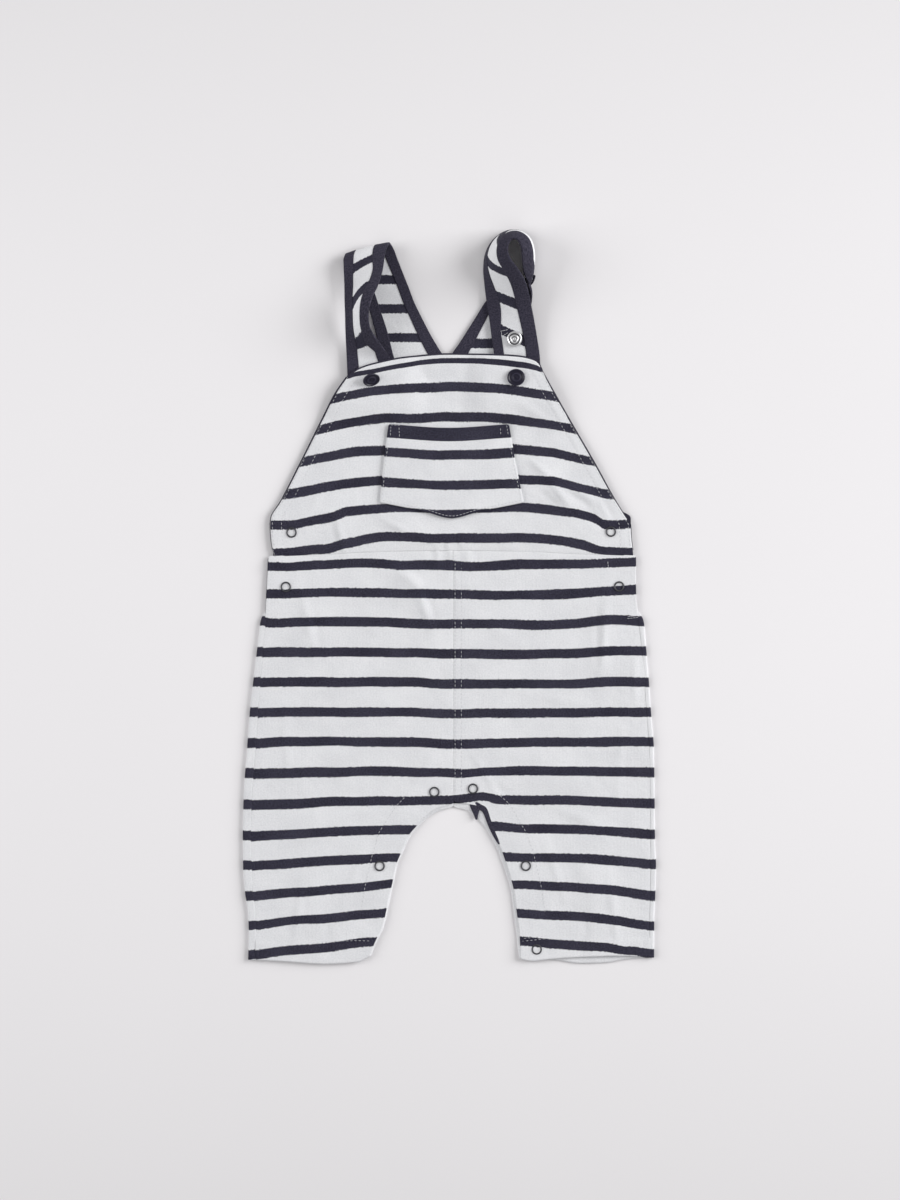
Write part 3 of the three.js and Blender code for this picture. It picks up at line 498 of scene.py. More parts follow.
jersey = jerseyMaterial()
tape = tapeMaterial("navyTape", tapeLook)
lacquer = metalMaterial("navyLacquer", (0.006, 0.005, 0.014, 1), (0.014, 0.012, 0.026, 1), 0.36)
# Lighter lacquer for the caps' raised rims and rings: a painted highlight
lacquerHighlight = metalMaterial(
    "paintedHighlightLacquer", (0.022, 0.02, 0.038, 1), (0.036, 0.033, 0.056, 1), 0.3, coat=0.1)
steel = metalMaterial("pressStudMetal", (0.8, 0.8, 0.81, 1), (0.7, 0.7, 0.72, 1), 0.36, 0.9)
# Dark steel: the ring studs' own colour, and also painted shade in the press stud's grooves
darkSteelAndGrooveShade = metalMaterial("ringStudMetalAndGrooveShade", (0.055, 0.055, 0.062, 1), (0.11, 0.11, 0.12, 1), 0.4, 0.7)
# The white thread is painted grey, and flecked with a darker grey, as painted shade on it
whiteThread = threadMaterial("whiteThread", (0.62, 0.625, 0.65, 1), (0.48, 0.485, 0.51, 1))
print("materials made")


def newObject(name, bm, material):
    mesh = bpy.data.meshes.new(name)
    bm.to_mesh(mesh)
    bm.free()
    made = bpy.data.objects.new(name, mesh)
    scene.collection.objects.link(made)
    mesh.materials.append(material)
    for face in mesh.polygons:
        face.use_smooth = True
    return made


def finishPiece(name, bm, material):
    piece = newObject(name, bm, material)
    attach(piece, "root")
    return piece


def clothGrid(bm, columns, rows, surface):
    # surface takes shares across and along. It gives the place, the stripe count, how far inside a
    # navy band and a plain white band the place is, and where it was on the flat cloth.
    numbers, vectors = bm.verts.layers.float, bm.verts.layers.float_vector
    stripe, band, bare = (numbers.get(name) or numbers.new(name) for name in ("stripe", "band", "bare"))
    flat = vectors.get("flat") or vectors.new("flat")
    made = bmesh.ops.create_grid(bm, x_segments=columns, y_segments=rows, size=0.5)
    for vert in made["verts"]:
        place, count, inBand, inBare, flatPlace = surface(vert.co.x + 0.5, vert.co.y + 0.5)
        vert.co = rowPoint(*place)
        vert[stripe], vert[band], vert[bare], vert[flat] = count, inBand, inBare, (*flatPlace, 0)
    return made["verts"]


def bandless(x, y, z, count):  # a point of cloth with stripes alone
    return (x, y, z), count, farOutside, farOutside, (x, y)


def allNavy(x, y, z, flat=None):
    return (x, y, z), 0, farInside, farOutside, flat or (x, y)


rimCrease = 0.6  # keeps the cut edges full, so that they sit on the table
trimThick = 0.8


def thicken(piece, thickness):
    wall = piece.modifiers.new("wall", "SOLIDIFY")
    wall.thickness, wall.offset = thickness * 0.001, 0
    wall.edge_crease_inner = wall.edge_crease_outer = rimCrease
    soft = piece.modifiers.new("soft", "SUBSURF")
    soft.levels = soft.render_levels = 1
    return piece


def clothPiece(name, columns, rows, surface, replaced, thickness=clothThick, material=jersey):
    bm = bmesh.new()
    clothGrid(bm, columns, rows, surface)
    bmesh.ops.recalc_face_normals(bm, faces=bm.faces)
    piece = thicken(finishPiece(name, bm, material), thickness)
    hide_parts(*replaced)
    return piece


def panelPlace(shape, low, high, facing, across, along):  # low and high are an edge and an offset
    def rise(share):
        foot, top = (curve(shape[edge], share) + off for edge, off in (low, high))
        return lerp(foot, top, along)

    left = curve(shape["left"], rise(0)) + curve(facing, rise(0))
    right = curve(shape["right"], rise(1)) - curve(facing, rise(1))
    return lerp(left, right, across), rise(across)


# Bib
def bibPlan(across, along):
    facing = bibShape["facing"]
    return panelPlace(bibShape, ("waist", waistGap), ("top", -facing[-1][1]), facing, across, along)


def bibSurface(across, along):
    x, y = bibPlan(across, along)
    y -= 0.5 * (1 - ease(along / 0.03))  # tucked under the waist seam
    down = curve(bibShape["top"], across) - y
    fromStripe = abs(down - curve(bibShape["topStripe"], across))
    inStripe = curve(bibShape["topStripeHalf"], across) - fromStripe
    rollDown, wide, high = bibShape["topRoll"]
    z = frontMiddle(x, y) + high * math.exp(-(((down - rollDown) / wide) ** 2))
    return (x, y, z), stripeCount(bibStripes, x, y), inStripe, bibShape["topBare"] - down, (x, y)


bibCloth = clothPiece("bibCloth", 126, 68, bibSurface, ["bib_front"])

facingLook = {
    "columns": 3, "rows": 90, "gap": 0.15, "below": 0.25, "length": 150, "foot": 0.03, "nudge": 0.004,
}


def facingStrip(edgePoint):  # a narrow strip outside the bib's own edge
    def surface(across, along):
        before = Vector(edgePoint(max(along - facingLook["nudge"], 0)))
        after = Vector(edgePoint(min(along + facingLook["nudge"], 1)))
        out = Vector((after.y - before.y, before.x - after.x)).normalized()
        x, y = edgePoint(along)
        reach = lerp(facingLook["gap"], curve(bibShape["facing"], y), across)
        x, y = Vector((x, y)) + out * reach
        z = frontMiddle(x, y) - facingLook["below"]
        return allNavy(x, y, z, (reach, along * facingLook["length"]))
    return surface


facingBm = bmesh.new()
bibEdges = (
    lambda share: bibPlan(1 - share, 1),
    lambda share: bibPlan(0, lerp(1, facingLook["foot"], share)),
    lambda share: bibPlan(1, lerp(facingLook["foot"], 1, share)),
)
for edgePoint in bibEdges:
    clothGrid(facingBm, facingLook["columns"], facingLook["rows"], facingStrip(edgePoint))
bibFacing = thicken(finishPiece("bibFacing", facingBm, tape), clothThick)
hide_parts("bib_facing_top", "bib_facing_left", "bib_facing_right")
print("bib made")


# Pocket
def pocketPlan(across, along):
    return panelPlace(pocketShape, ("foot", 0), ("mouth", 0), [(0, 0)], across, along)


def pocketMiddle(x, y):
    left, right = curve(pocketShape["left"], y), curve(pocketShape["right"], y)
    belowHem = curve(pocketShape["mouth"], (x - left) / (right - left)) - y - pocketShape["hem"]
    puff = 0.35 * ease(min(x - left, right - x) / 9) + 0.25 * (1 - ease(belowHem / 1.5))
    return frontMiddle(x, y) + clothThick + 0.3 + puff + groove(belowHem, "pocketHem")


def pocketSurface(across, along):
    x, y = pocketPlan(across, along)
    inHem = y - curve(pocketShape["mouth"], across) + pocketShape["hem"]
    return (x, y, pocketMiddle(x, y)), stripeCount(pocketStripes, x, y), inHem, farOutside, (x, y)


pocketCloth = clothPiece("pocketCloth", 34, 24, pocketSurface, ["pocket"])
print("pocket made")


# Trousers
def levelAt(along):  # rows crowd round the crotch, where the edge turns fast
    return curve([(0, 0), (0.28, 80), (0.5, legRise["crotch"] + 3), (1, legRise["waist"])], along)


def legY(shape, level, x, hemShare, hem):
    dip = curve(shape.get(hem, shape["hem"]), hemShare)
    up = level + (1 - ease(level / legRise["hemReach"])) * dip
    near = ease((level - legRise["waistFrom"]) / (legRise["waist"] - legRise["waistFrom"]))
    return up + near * (waistY(x) - waistGap - legRise["waist"])


def frontLegSurface(shape):
    mirror = shape["mirror"]

    def surface(across, along):
        level = levelAt(along)
        side = curve(shape["seam"], level) - mirror * seamLap
        inner = curve(shape["front"], level) + mirror * seamLap
        x = lerp(side, inner, across)
        y = legY(shape, level, x, across if mirror > 0 else 1 - across, "hem")
        roll = 0.3 * (1 - ease((level - legRise["hemRoll"]) / 1.5))
        roll += groove(level - legRise["hemStitch"], "legHem")
        if level <= legRise["lastWrapped"]:
            roll += groove(x - side, "sideSeam")
        y += 0.5 * ease((level - legRise["lapFrom"]) / 4)  # laps the bib at the waist seam
        return bandless(x, y, frontMiddle(x, y) + roll, stripeCount(legStripes, x, y))
    return surface


def backLift(x, y):  # the back's own shallow ripples, which follow the front's folds
    return 0.3 * foldHeight(softFolds, x, y)


def backLegSurface(shape):
    mirror = shape["mirror"]
    middle = clothThick + 0.15
    radius = middle - clothThick / 2
    flatPart, turnPart = 0.84, 0.12

    def surface(across, along):
        level = levelAt(along)
        lap = lerp(-0.15, seamLap, ease((level - legRise["crotchLap"]) / 5))
        inner = curve(shape["back"], level) + mirror * lap
        fold = curve(shape["fold"], level)
        seam = curve(shape["seam"], level) + mirror * seamLap
        turnX = fold + mirror * middle
        closed = 1 - ease((level - legRise["lastWrapped"]) / 5)
        spread = mirror * (1 - closed) * middle  # lays the turn out flat beside the hip openings
        if across <= flatPart:
            part = across / flatPart
            x = lerp(inner, turnX, part * (0.4 + 0.6 * part))
            z = clothThick / 2 + backLift(x, level) * ease(abs(x - turnX) / 10)
            if level < legRise["crotch"]:  # rises under the front's inner edge
                reach, past = abs(curve(shape["front"], level) - inner), abs(x - inner)
                rise = ease(past / reach) if past < reach else 1 - ease((past - reach) / 10)
                z = lerp(z, max(frontMiddle(x, level) - legRise["underFront"], z), rise)
        elif across <= flatPart + turnPart:
            part = (across - flatPart) / turnPart
            angle = math.pi * part * closed
            x = turnX - mirror * radius * math.sin(angle) - spread * 0.6 * part
            z = middle - radius * math.cos(angle)
        else:
            part = (across - flatPart - turnPart) / (1 - flatPart - turnPart)
            x = lerp(turnX, seam, part * closed) - spread * (0.6 + 0.4 * part)
            z = middle - radius * math.cos(math.pi * closed) + backLift(x, level) * closed
        hemShare = min(max((x - inner) / (fold - inner), 0), 1)
        y = legY(shape, level, x, 1 - hemShare if mirror > 0 else hemShare, "backHem")
        flatX = x if across <= flatPart else lerp(inner, turnX, across / flatPart)
        faced = level < legRise["crotch"] and across < 0.5
        facing = legRise["facing"] - abs(x - inner) if faced else farOutside
        step = legRise["seamStep"] * ease((across - 0.7) / 0.2) if mirror > 0 else 0
        return (x, y, z), stripeCount(legStripes, x, y - step), farOutside, facing, (flatX, y)
    return surface


for side, shape in legShapes.items():
    clothPiece(
        "frontLeg." + side, 70, 132, frontLegSurface(shape), ["front_leg_" + side])
    clothPiece(
        "backLeg." + side, 50, 100, backLegSurface(shape), ["back_leg_" + side])
print("trousers made")


# Back bodice, under the bib
def backSurface(across, along):
    y = lerp(backShape["foot"], backShape["neck"], along)
    inset = backShape["tape"] + backShape["tapeGap"]
    x = lerp(curve(backShape["left"], y) + inset, curve(backShape["right"], y) - inset, across)
    count = stripeCount(bibStripes, x, y - backShape["stripeShift"])
    return bandless(x, y, clothThick / 2 + backLift(x, y), count)


def backTapeSurface(edge, mirror):
    def surface(across, along):
        y = lerp(backShape["foot"], backShape["neck"], along)
        x = curve(edge, y) + mirror * backShape["tape"] * across
        return allNavy(x, y, clothThick / 2, (across * backShape["tape"], y))
    return surface


backCloth = clothPiece("backCloth", 56, 40, backSurface, ["back_bodice"])
backTapes = [
    clothPiece("backTape." + side, 4, 60, backTapeSurface(backShape[side], mirror),
               ["back_binding_" + side], material=tape)
    for side, mirror in (("left", 1), ("right", -1))
]
print("back made")

# Straps. A section has the armhole edge, the neck edge, how far the middle bows out, and an S wave.
leftStrap = {
    "mirror": 1,
    "sections": [
        (-49.2, 404.3, 1.1, -3.6, 404.3, 1.1, 0, 0), (-49.9, 409.4, 1.1, -8, 409.4, 1.1, 0, 0),
        (-51.6, 420.8, 1.1, -14.9, 420.8, 1.1, 0, 0), (-54.6, 432.2, 1.1, -20.8, 432.2, 1.1, 0, 0),
        (-57.6, 442.2, 1.1, -25.7, 442.2, 1.1, 0, 0), (-61, 452.3, 1.1, -29.8, 452.9, 1.1, 0, 0),
        (-65.7, 463, 1.1, -33.8, 463, 1.1, 0, 0), (-69.3, 469.7, 1.5, -37.2, 471.7, 1.5, 0, 0),
        (-70.8, 473.2, 2.8, -39.5, 477.6, 3.2, 0.5, 0), (-71.6, 474.4, 5, -42.2, 481.6, 6.2, 1, 0),
        (-73, 471, 7, -43.8, 480, 9.4, 1, 0), (-73.1, 467.6, 7.6, -45.6, 473, 11.6, 0.3, 0.3),
        (-72.8, 460.4, 7.4, -47, 463, 15.4, 0.6, 0.8), (-72.4, 452, 7, -49.8, 453.4, 19.4, 0.8, 1.2),
        (-72.2, 443.5, 6.5, -53.9, 444.2, 22.4, 0.8, 1.4),
        (-71.8, 434.2, 6, -56.3, 434.2, 22.6, 0.8, 1.4), (-71.6, 424.1, 5, -54.9, 423.4, 18.4, 1, 1),
        (-71.4, 414.1, 4, -47.9, 413.4, 9.4, 1.4, 0.4), (-71.2, 405.4, 3.4, -42, 404.6, 3.6, 0.2, 0),
        (-70.7, 394, 3.4, -38.9, 393.3, 3.4, 0, 0), (-69.7, 382.6, 3.4, -37.5, 381.9, 3.4, 0, 0),
    ],
    "stripes": {  # section and stripe count, at the armhole edge and at the neck edge
        "outer": [(0, -0.76), (1, -0.5), (2, 0.09), (3, 0.68), (4, 1.19), (5, 1.71), (6, 2.26),
                  (7, 2.6), (8, 2.85), (9.5, 3.2), (12.06, 4), (15.03, 5), (17.32, 6), (20, 7.3)],
        "inner": [(0, -0.76), (1, -0.5), (2, 0.09), (3, 0.68), (4, 1.19), (5, 1.73), (6, 2.26),
                  (7, 2.7), (8, 3.03), (9, 3.4), (10.9, 4), (12.9, 5), (16.25, 6), (20, 7.6)],
    },
    "tapes": {  # section and tape width as a share of the strap's
        "outer": [(0, 0.22), (8, 0.24), (12, 0.24), (13, 0.25), (14, 0.27), (15, 0.32), (16, 0.34),
                  (17, 0.31), (18, 0.26), (20, 0.25)],
        "inner": [(0, 0.235), (7.5, 0.235), (9, 0.3), (10, 0.32), (11, 0.3), (12, 0.24), (13, 0.26),
                  (14, 0.29), (15, 0.26), (16.2, 0.3), (16.8, 0.37), (17.1, 0.315), (17.4, 0.265),
                  (17.8, 0.3), (20, 0.29)],
    },
    "peak": 0.5, "bend": 1.5, "cut": (0.02, 0.168),
}
rightStrap = {
    "mirror": -1,
    "sections": [
        (47.9, 404.3, 1.1, -3.2, 404.3, 1.1, 0, 0), (48.6, 409.4, 1.1, 0, 409.4, 1.1, 0, 0),
        (49.6, 417.4, 1.1, 4.7, 416.1, 1.1, 0, 0), (50.9, 427.5, 1.1, 10.4, 425.1, 1.1, 0, 0),
        (52, 437.5, 2, 16.4, 434.5, 1.1, 0, 0), (53, 445, 4.6, 22.8, 444.2, 1.1, 0.5, 0),
        (52.4, 450.4, 9, 32.5, 449.8, 1.1, 1.6, 0), (50, 455.2, 14, 43, 454.4, 1.1, 3.4, 0),
        (47.4, 460.4, 18.6, 50.5, 460, 1.1, 4.6, 0), (46.2, 466.6, 22.6, 52.6, 468, 1.1, 5.2, 0),
        (45.8, 473, 25, 52.8, 477, 1.1, 5.4, 0), (44.8, 479, 25.6, 50.6, 484.6, 1.1, 5, 0),
        (42.6, 482.4, 25.6, 45.2, 489.4, 1.1, 3.8, 0), (39.8, 483.2, 25.6, 38.5, 490.2, 1.1, 3.2, 0),
        (37.2, 480.8, 25.6, 31.5, 487.6, 1.1, 3.6, 0), (36.2, 475.8, 25.6, 25.6, 482, 1.1, 4.2, 0),
        (38, 470, 25, 22, 474, 1.1, 4.4, 0), (42.6, 464.2, 23.2, 21, 464.5, 1.4, 3.6, 0),
        (47.4, 457, 19.6, 21.6, 455, 2.2, 2.6, 0), (50.4, 448.6, 14.8, 22.5, 445.6, 3.2, 1.8, 0),
        (52.6, 438.9, 9.6, 23.8, 436.2, 3.8, 1.4, 0), (54.6, 428.8, 6.8, 25, 426.8, 3.8, 1, 0),
        (56.3, 418.8, 4.8, 26.1, 417.4, 3.6, 0.6, 0), (58, 408, 3.6, 27.5, 407.4, 3.5, 0.2, 0),
        (58.6, 396.6, 3.4, 28.1, 396, 3.4, 0, 0), (59, 382.6, 3.4, 28.1, 382.6, 3.4, 0, 0),
    ],
    "stripes": {
        "outer": [(0, -0.7), (3, 0.45), (6, 1.3), (9, 1.9), (12, 2.35), (15, 3), (17.68, 4),
                  (20.22, 5), (22.76, 6), (25, 7.2)],
        "inner": [(0, -0.7), (3, 0.45), (6, 1.6), (9, 2.5), (12, 2.95), (14.6, 3.5), (15.97, 4),
                  (18.5, 5), (20.89, 6), (25, 7.9)],
    },
    "tapes": {
        "outer": [(0, 0.22), (5, 0.22), (9, 0.28), (15, 0.27), (17, 0.29), (18, 0.31), (20, 0.325),
                  (22, 0.3), (25, 0.295)],
        "inner": [(0, 0.22), (14, 0.22), (16.5, 0.2), (17.5, 0.22), (18.5, 0.27), (19.6, 0.31),
                  (20.6, 0.27), (21.5, 0.225), (25, 0.215)],
    },
    "peak": 0.32, "bend": 1, "cut": (0.02, 0.196),
}
strapShapes = {"left": leftStrap, "right": rightStrap}
strapTape = {"tuck": 0.03, "thick": 1.9}


def throughPoints(values, at):  # smooth line through evenly spaced values
    last = len(values) - 1
    step = min(max(int(at), 0), last - 1)
    t = at - step
    a, b, c, d = (values[min(max(step + i, 0), last)] for i in (-1, 0, 1, 2))
    square, cube = 2 * a - 5 * b + 4 * c - d, 3 * b - a - 3 * c + d
    return 0.5 * (2 * b + (c - a) * t + square * t * t + cube * t ** 3)


def strapSection(shape, row):
    last = len(shape["sections"]) - 1
    row = min(max(row, 0), last)
    numbers = [throughPoints(column, row) for column in zip(*shape["sections"])]
    return Vector(numbers[0:3]), Vector(numbers[3:6]), numbers[6], numbers[7]


def strapPoint(shape, row, share):
    outer, inner, bow, wave = strapSection(shape, row)
    last = len(shape["sections"]) - 1
    ahead, behind = strapSection(shape, min(row + 0.5, last)), strapSection(shape, max(row - 0.5, 0))
    along = ahead[0] + ahead[1] - behind[0] - behind[1]
    outward = along.cross(inner - outer).normalized() * shape["mirror"]
    peak = shape["peak"]
    arch = share / peak / 2 if share < peak else 0.5 + (share - peak) / (1 - peak) / 2
    lifted = bow * math.sin(math.pi * arch) - wave * math.sin(2 * math.pi * share)
    return outer.lerp(inner, share) + outward * lifted


def strapSurface(shape, part):
    last = len(shape["sections"]) - 1
    width = (strapSection(shape, 3)[1] - strapSection(shape, 3)[0]).length
    navyBand = farOutside if part == "cloth" else farInside

    def surface(across, along):
        row = along * last
        outerTape = curve(shape["tapes"]["outer"], row)
        innerTape = 1 - curve(shape["tapes"]["inner"], row)
        start, end = {"cloth": (outerTape - strapTape["tuck"], innerTape + strapTape["tuck"]),
                      "outer": (0, outerTape), "inner": (innerTape, 1)}[part]
        share = lerp(start, end, across)
        bent = 1 - (1 - share) ** shape["bend"]
        count = lerp(curve(shape["stripes"]["outer"], row), curve(shape["stripes"]["inner"], row), bent)
        place = strapPoint(shape, row, share)
        return place, count, navyBand, farOutside, (share * width, count * stripePitch)
    return surface


for side, shape in strapShapes.items():
    clothPiece(
        "strap." + side, 14, 130, strapSurface(shape, "cloth"), ["strap_" + side])
    for part in ("outer", "inner"):
        clothPiece(
            f"strapTape.{side}.{part}", 6, 130, strapSurface(shape, part),
            [f"strap_{side}_binding_{part}"], strapTape["thick"], tape)
print("straps made")


# Press studs
turnSteps = 40


def turned(profile):  # a ring or disc about its own axis, from (radius, height) pairs
    bm = bmesh.new()
    verts = [bm.verts.new((radius, 0, height)) for radius, height in profile]
    edges = [bm.edges.new(pair) for pair in zip(verts, verts[1:])]
    bmesh.ops.spin(bm, geom=verts + edges, axis=(0, 0, 1), cent=(0, 0, 0), angle=2 * math.pi,
                   steps=turnSteps, use_merge=True)
    bmesh.ops.remove_doubles(bm, verts=bm.verts, dist=0.001)
    bmesh.ops.recalc_face_normals(bm, faces=bm.faces)
    return bm


def studPiece(name, look, place, axis, replaced, squash=1):
    # look's second holds the (inner, outer) radii whose faces take the second material: a painted
    # highlight on the caps' raised rims and rings, painted shade in the press stud's grooves
    bm = turned(look["profile"])
    for face in bm.faces:
        middle = face.calc_center_median()
        away = math.hypot(middle.x, middle.y)
        face.material_index = int(any(inner < away < outer for inner, outer in look["second"]))
    turn = Vector((0, 0, 1)).rotation_difference(axis).to_matrix().to_4x4()
    placed = Matrix.Scale(0.001, 4) @ turn @ Matrix.Diagonal((1, squash, 1, 1))
    bmesh.ops.transform(bm, verts=bm.verts, matrix=placed)
    bmesh.ops.translate(bm, vec=place, verts=bm.verts)
    piece = finishPiece(name, bm, look["materials"][0])
    for extra in look["materials"][1:]:
        piece.data.materials.append(extra)
    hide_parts(replaced)
    return piece


def boxMiddle(node):
    low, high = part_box(node)
    return (low + high) / 2


def ringProfile(outer, inner, height):
    middle, half = (outer + inner) / 2, (outer - inner) / 2
    arc = [math.pi * step / 8 for step in range(9)]
    top = [(middle + half * math.cos(a), height * 0.45 + height * 0.55 * math.sin(a)) for a in arc]
    return [(inner, 0), (outer, 0)] + top + [(inner, 0)]


ringStud = {
    "profile": ringProfile(3.5, 2.5, 0.8), "above": 0.02,
    "materials": [darkSteelAndGrooveShade], "second": [], "slot": "stud_metal",
    "places": {
        "hip_left_high": (-108.2, 288.4), "hip_left_low": (-112, 252), "hip_right_high": (105.8, 289),
        "hip_right_low": (111.3, 252.3), "crotch_left": (-12.5, 114.6), "crotch_right": (13.4, 116.8),
        "leg_left": (-49.2, 65), "leg_right": (48.8, 65.1), "hem_right": (56.1, 9.1),
    },
}
for name, (x, y) in ringStud["places"].items():
    place = rowPoint(x, y, frontTop(x, y) + ringStud["above"])
    studPiece("ringStud." + name, ringStud, place, Vector((0, 0, 1)), "stud_" + name)

bibCap = {
    "profile": [(0, -0.9), (5, -0.9), (5.8, -0.4), (6, 0.1), (5.85, 0.55), (5.45, 0.8), (5, 0.72),
                (4.6, 0.35), (4.1, 0.1), (3.5, 0.2), (3, 0.5), (2.4, 0.55), (1.9, 0.3), (1.2, 0.15),
                (0.6, 0.35), (0, 0.45)],
    # the raised rim and ring faces take the lighter lacquer, a painted highlight
    "materials": [lacquer, lacquerHighlight], "second": [(5.3, 5.75), (2.3, 2.9)], "slot": "navy_lacquer",
    "leaning": {  # axis, squash and lift
        "cap_bib_left": ((0.36, -0.52, 0.78), 0.8, -0.9),
        "cap_bib_right": ((0.02, 0.04, 1), 0.95, 0.2),
    },
}
for node, (axis, squash, lift) in bibCap["leaning"].items():
    place = boxMiddle(node) + Vector((0, 0, lift * 0.001))
    studPiece(node.replace("_", "."), bibCap, place, Vector(axis), node, squash)


def strapNormal(shape, row, share):
    along = strapPoint(shape, row + 0.2, share) - strapPoint(shape, row - 0.2, share)
    across = strapPoint(shape, row, share + 0.05) - strapPoint(shape, row, share - 0.05)
    return along.cross(across).normalized() * shape["mirror"]


strapStuds = {
    "stud_strap_right": {
        # the dark steel on the two groove rings is painted shade
        "at": (22, 0.5), "materials": [steel, darkSteelAndGrooveShade], "second": [(3.1, 4), (1.2, 1.9)],
        "profile": [(0, -0.8), (4.9, -0.8), (5.15, 0), (5.1, 0.5), (4.7, 0.9), (4.2, 0.85), (3.9, 0.3),
                    (3.3, 0.3), (3, 0.8), (2.6, 1.1), (2.1, 1.1), (1.8, 0.6), (1.3, 0.5), (0.9, 0.8),
                    (0, 0.9)],
        "slot": "stud_metal",
    },
    "cap_strap_right": {
        # the rim takes the lighter lacquer, a painted highlight
        "at": (7.7, 0.58), "materials": [lacquer, lacquerHighlight], "second": [(3.2, 3.6)],
        "profile": [(0, -0.7), (3.4, -0.7), (3.85, -0.1), (3.7, 0.5), (3.2, 0.7), (2.6, 0.4), (0, 0.3)],
        "slot": "navy_lacquer",
    },
}
for node, look in strapStuds.items():
    axis = strapNormal(strapShapes["right"], *look["at"])
    studPiece(node.replace("_", "."), look, boxMiddle(node), axis, node)
print("studs made")

# Twisted end of the crotch placket, in photo pixels from above: its two edges and its height
twistLook = {
    "crotchBand": {
        "left": [(470, 800), (472, 806), (478, 808.6), (483, 812.5), (486, 820), (489.6, 829),
                 (494.4, 838), (498.4, 844)],
        "right": [(480, 799), (483, 803), (487.5, 806.4), (490, 812), (492, 820), (495.4, 829.4),
                  (498.8, 838.4), (500, 844.6)],
        "height": 2.05,
    },
    "crotchWedge": {
        "left": [(468.5, 801), (469.6, 805), (471.6, 810), (474, 815), (476, 819.6)],
        "right": [(482, 802), (481, 806), (479.4, 810.4), (478, 815), (477, 819.8)],
        "height": 1.95,
    },
}


def ribbonSurface(look):
    def surface(across, along):
        sides = []
        for side in ("left", "right"):
            at = along * (len(look[side]) - 1)
            sides.append(Vector([throughPoints([p[i] for p in look[side]], at) for i in (0, 1)]))
        x, y = fromPhoto(*sides[0].lerp(sides[1], across))
        return allNavy(x, y, look["height"] + 0.35 * math.sin(math.pi * across))
    return surface


def trimPiece(name, columns, rows, surface):
    bm = bmesh.new()
    clothGrid(bm, columns, rows, surface)
    return thicken(finishPiece(name, bm, tape), trimThick)


twistPieces = [trimPiece(name, 5, 16, ribbonSurface(look)) for name, look in twistLook.items()]

# Navy edge of the facing inside each hip opening
hipEdge = {"wide": {"left": 0.5, "right": 0.25}, "in": 0.8, "low": 234, "high": 271.5, "height": 1.6}


def hipSurface(shape, wide):
    def surface(across, along):
        y = lerp(hipEdge["low"], hipEdge["high"], along)
        x = curve(shape["seam"], y) - shape["mirror"] * lerp(wide, -hipEdge["in"], across)
        return allNavy(x, y, hipEdge["height"])
    return surface


for side, shape in legShapes.items():
    trimPiece("hipEdge." + side, 2, 30, hipSurface(shape, hipEdge["wide"][side]))
print("crotch and hips made")

# Stitches
stitchLook = {"pitch": 2.8, "long": 2, "wide": 0.36, "high": 0.34}
stitchShape = Matrix.Diagonal((stitchLook["long"], stitchLook["wide"], stitchLook["high"], 1))


def stitchRow(bm, line, top, pitch=stitchLook["pitch"]):  # low beads along a line of (x, y) points
    points = [Vector(point) for point in line]
    left = pitch / 2
    for start, end in zip(points, points[1:]):
        length = (end - start).length
        turn = Matrix.Rotation(math.atan2(end.y - start.y, end.x - start.x), 4, "Z")
        while left < length:
            x, y = start.lerp(end, left / length)
            place = Matrix.Translation(rowPoint(x, y, top(x, y)))
            bmesh.ops.create_icosphere(bm, subdivisions=1, radius=0.5,
                                       matrix=place @ Matrix.Scale(0.001, 4) @ turn @ stitchShape)
            left += pitch
        left -= length


def pocketTop(x, y):
    return pocketMiddle(x, y) + clothThick / 2


strapMarkHeight = 6.3
centreRows = (1.4, 5.6)
pocketInset = 1.5
pocketFoot = {"from": -47.5, "to": 46, "steps": 30, "pitch": 2.4}
bibInsets = [inset / bibShape["slant"] for inset in bibShape["stitches"]]
sideRows = (  # shape, distances from its sides, places up them, and the cloth's top
    (bibShape, bibInsets, range(279, 391, 3), frontTop),
    (pocketShape, [pocketInset], range(310, 350, 3), pocketTop),
)
stitchBm = bmesh.new()
for shape, insets, heights, top in sideRows:
    for side, toward in (("left", 1), ("right", -1)):
        for inset in insets:
            stitchRow(stitchBm, [(curve(shape[side], y) + toward * inset, y) for y in heights], top)
for x in centreRows:
    stitchRow(stitchBm, [(x, y) for y in range(274, 110, -4)], frontTop)
footLine = []
for step in range(pocketFoot["steps"] + 1):
    share = step / pocketFoot["steps"]
    x = lerp(pocketFoot["from"], pocketFoot["to"], share)
    footLine.append((x, curve(pocketShape["foot"], share) + pocketInset))
stitchRow(stitchBm, footLine, pocketTop, pocketFoot["pitch"])

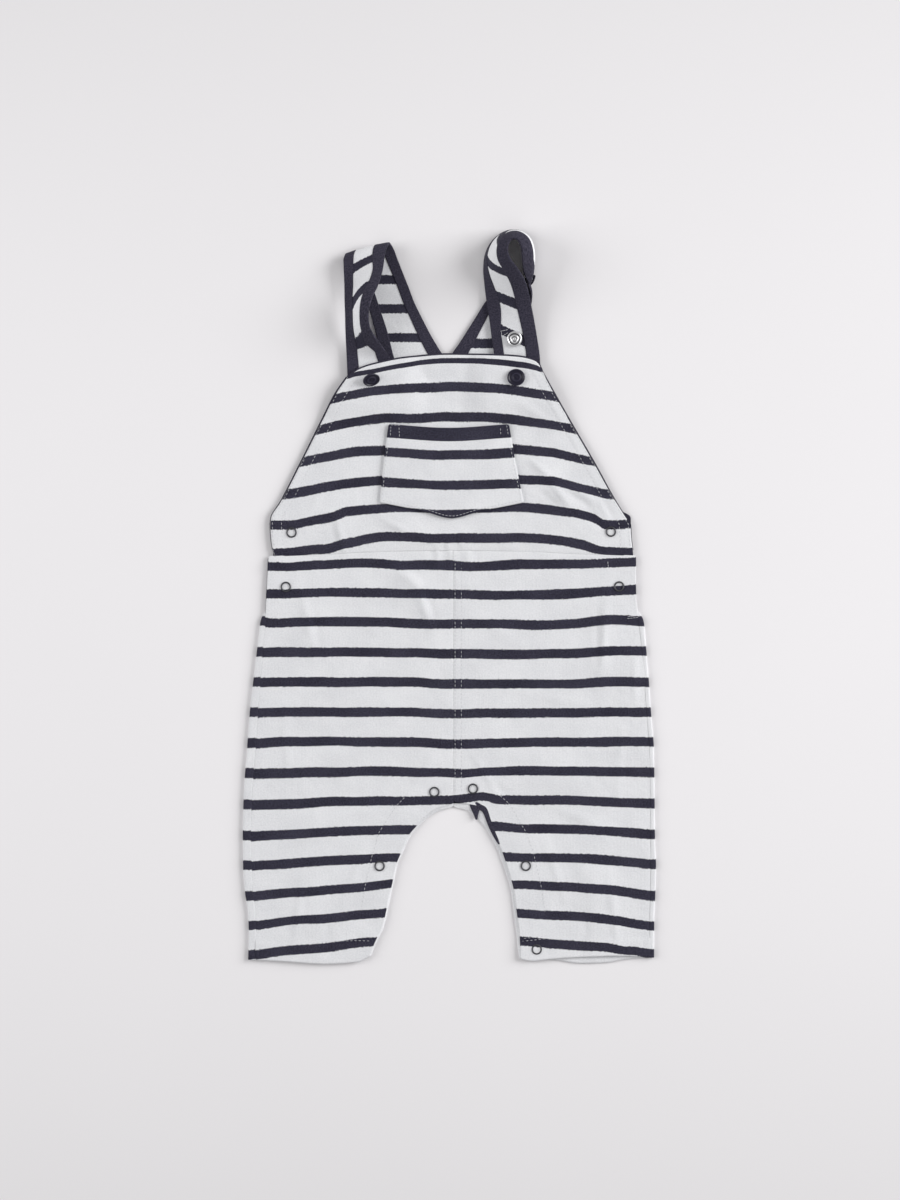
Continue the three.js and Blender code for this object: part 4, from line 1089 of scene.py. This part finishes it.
photoStitches = {  # the cloth's top, pitch, and lines of points in pixels
    "pocketTacks": (pocketTop, 2.3, [
        [(390.4, 436), (391, 425), (399, 425.4), (399.4, 435.6)],
        [(500.4, 428), (500.8, 436)],
        [(506.4, 424.6), (508.4, 436)],
    ]),
    "plackets": (frontTop, stitchLook["pitch"], [
        [(405, 797), (395.6, 806.6), (383, 826), (378.7, 833), (371.7, 857), (364.7, 888), (361, 912)],
        [(499.4, 795), (510.6, 805), (519, 820.6), (526, 832), (533, 851), (541.5, 888), (545, 912)],
    ]),
    "hems": (frontTop, stitchLook["pitch"], [
        [(262, 949), (300, 943.4), (340, 941), (358, 940.6), (372, 941)],
        [(521, 941.4), (547, 938.6), (580, 940), (620, 943), (648, 947)],
        [(523, 938.4), (540, 936.8), (548, 935.8)],
    ]),
    "hipTacks": (frontTop, 1.9, [
        [(608.4, 567), (607.6, 560.6)], [(627, 618.6), (638, 617.4)], [(627.6, 616.6), (637, 615.8)],
        [(272.4, 549), (275.6, 557.4)], [(266, 563), (265.6, 571)],
    ]),
    "strapMark": (lambda x, y: strapMarkHeight, 1.7, [
        [(501.6, 337.6), (501.4, 331.4), (507, 330.2)], [(503.6, 335.6), (508, 333)],
    ]),
}
for top, pitch, lines in photoStitches.values():
    for line in lines:
        stitchRow(stitchBm, [fromPhoto(*point) for point in line], top, pitch)
stitches = finishPiece("whiteStitches", stitchBm, whiteThread)
print("stitches made")

# Table, light and camera
# The ends colour is painted shade: the darker tone the table fades to at its top and bottom, for light
# falling off there
floorLook = {
    "dark": (0.80, 0.785, 0.80, 1), "light": (0.83, 0.815, 0.83, 1), "ends": (0.59, 0.58, 0.585, 1),
    "drop": 0.00003, "size": 3,
}
floorMaterial, floorShader, start = newMaterial("paleTable", {
    "Roughness": 0.85, "Specular IOR Level": 0.2})
along = start.place().parts()[1]  # painted shade: the table is painted paler at the middle than at the top and bottom, where the light falls off
floorTone = start.place().speckle(3.0, 3.0).blend(floorLook["dark"], floorLook["light"])
plug(floorShader, "Base Color", (along * along * 2).blend(floorTone, floorLook["ends"]))
floorBm = bmesh.new()
bmesh.ops.create_grid(floorBm, x_segments=1, y_segments=1, size=floorLook["size"],
                      matrix=Matrix.Translation((0, 0, -floorLook["drop"])))
floor = newObject("floor", floorBm, floorMaterial)

sky = {"colour": (1.0, 0.995, 1.0, 1), "strength": 0.405}
lights = {  # place in metres, watts and size
    "keyLight": ((3.2, 1, 1.75), 140, 2.2),
    "fillLight": ((-3.2, 0.4, 1.75), 68, 2.2),
}
world = bpy.data.worlds.new("studio")
world.use_nodes = True
background = world.node_tree.nodes["Background"]
background.inputs["Color"].default_value = sky["colour"]
background.inputs["Strength"].default_value = sky["strength"]
scene.world = world
for name, (place, watts, size) in lights.items():
    lightData = bpy.data.lights.new(name, "AREA")
    lightData.energy, lightData.size = watts, size
    light = bpy.data.objects.new(name, lightData)
    light.location = place
    light.rotation_euler = (-light.location).to_track_quat("-Z", "Y").to_euler()
    scene.collection.objects.link(light)

cameraLook = {"distance": 2.6, "sensor": 36, "plane": 2.7}
frameHeight = photo["height"] * photo["pixel"] * 0.001
cameraData = bpy.data.cameras.new("camera")
cameraData.sensor_width = cameraLook["sensor"]
cameraData.lens = cameraLook["sensor"] * cameraLook["distance"] / frameHeight
cameraData.clip_start, cameraData.clip_end = 0.1, 20
camera = bpy.data.objects.new("camera", cameraData)
centre = fromPhoto(photo["width"] / 2, photo["height"] / 2)
camera.location = rowPoint(*centre, cameraLook["plane"]) + Vector((0, 0, cameraLook["distance"]))
scene.collection.objects.link(camera)
scene.camera = camera
scene.view_settings.view_transform = "Standard"
print("table, light and camera set")
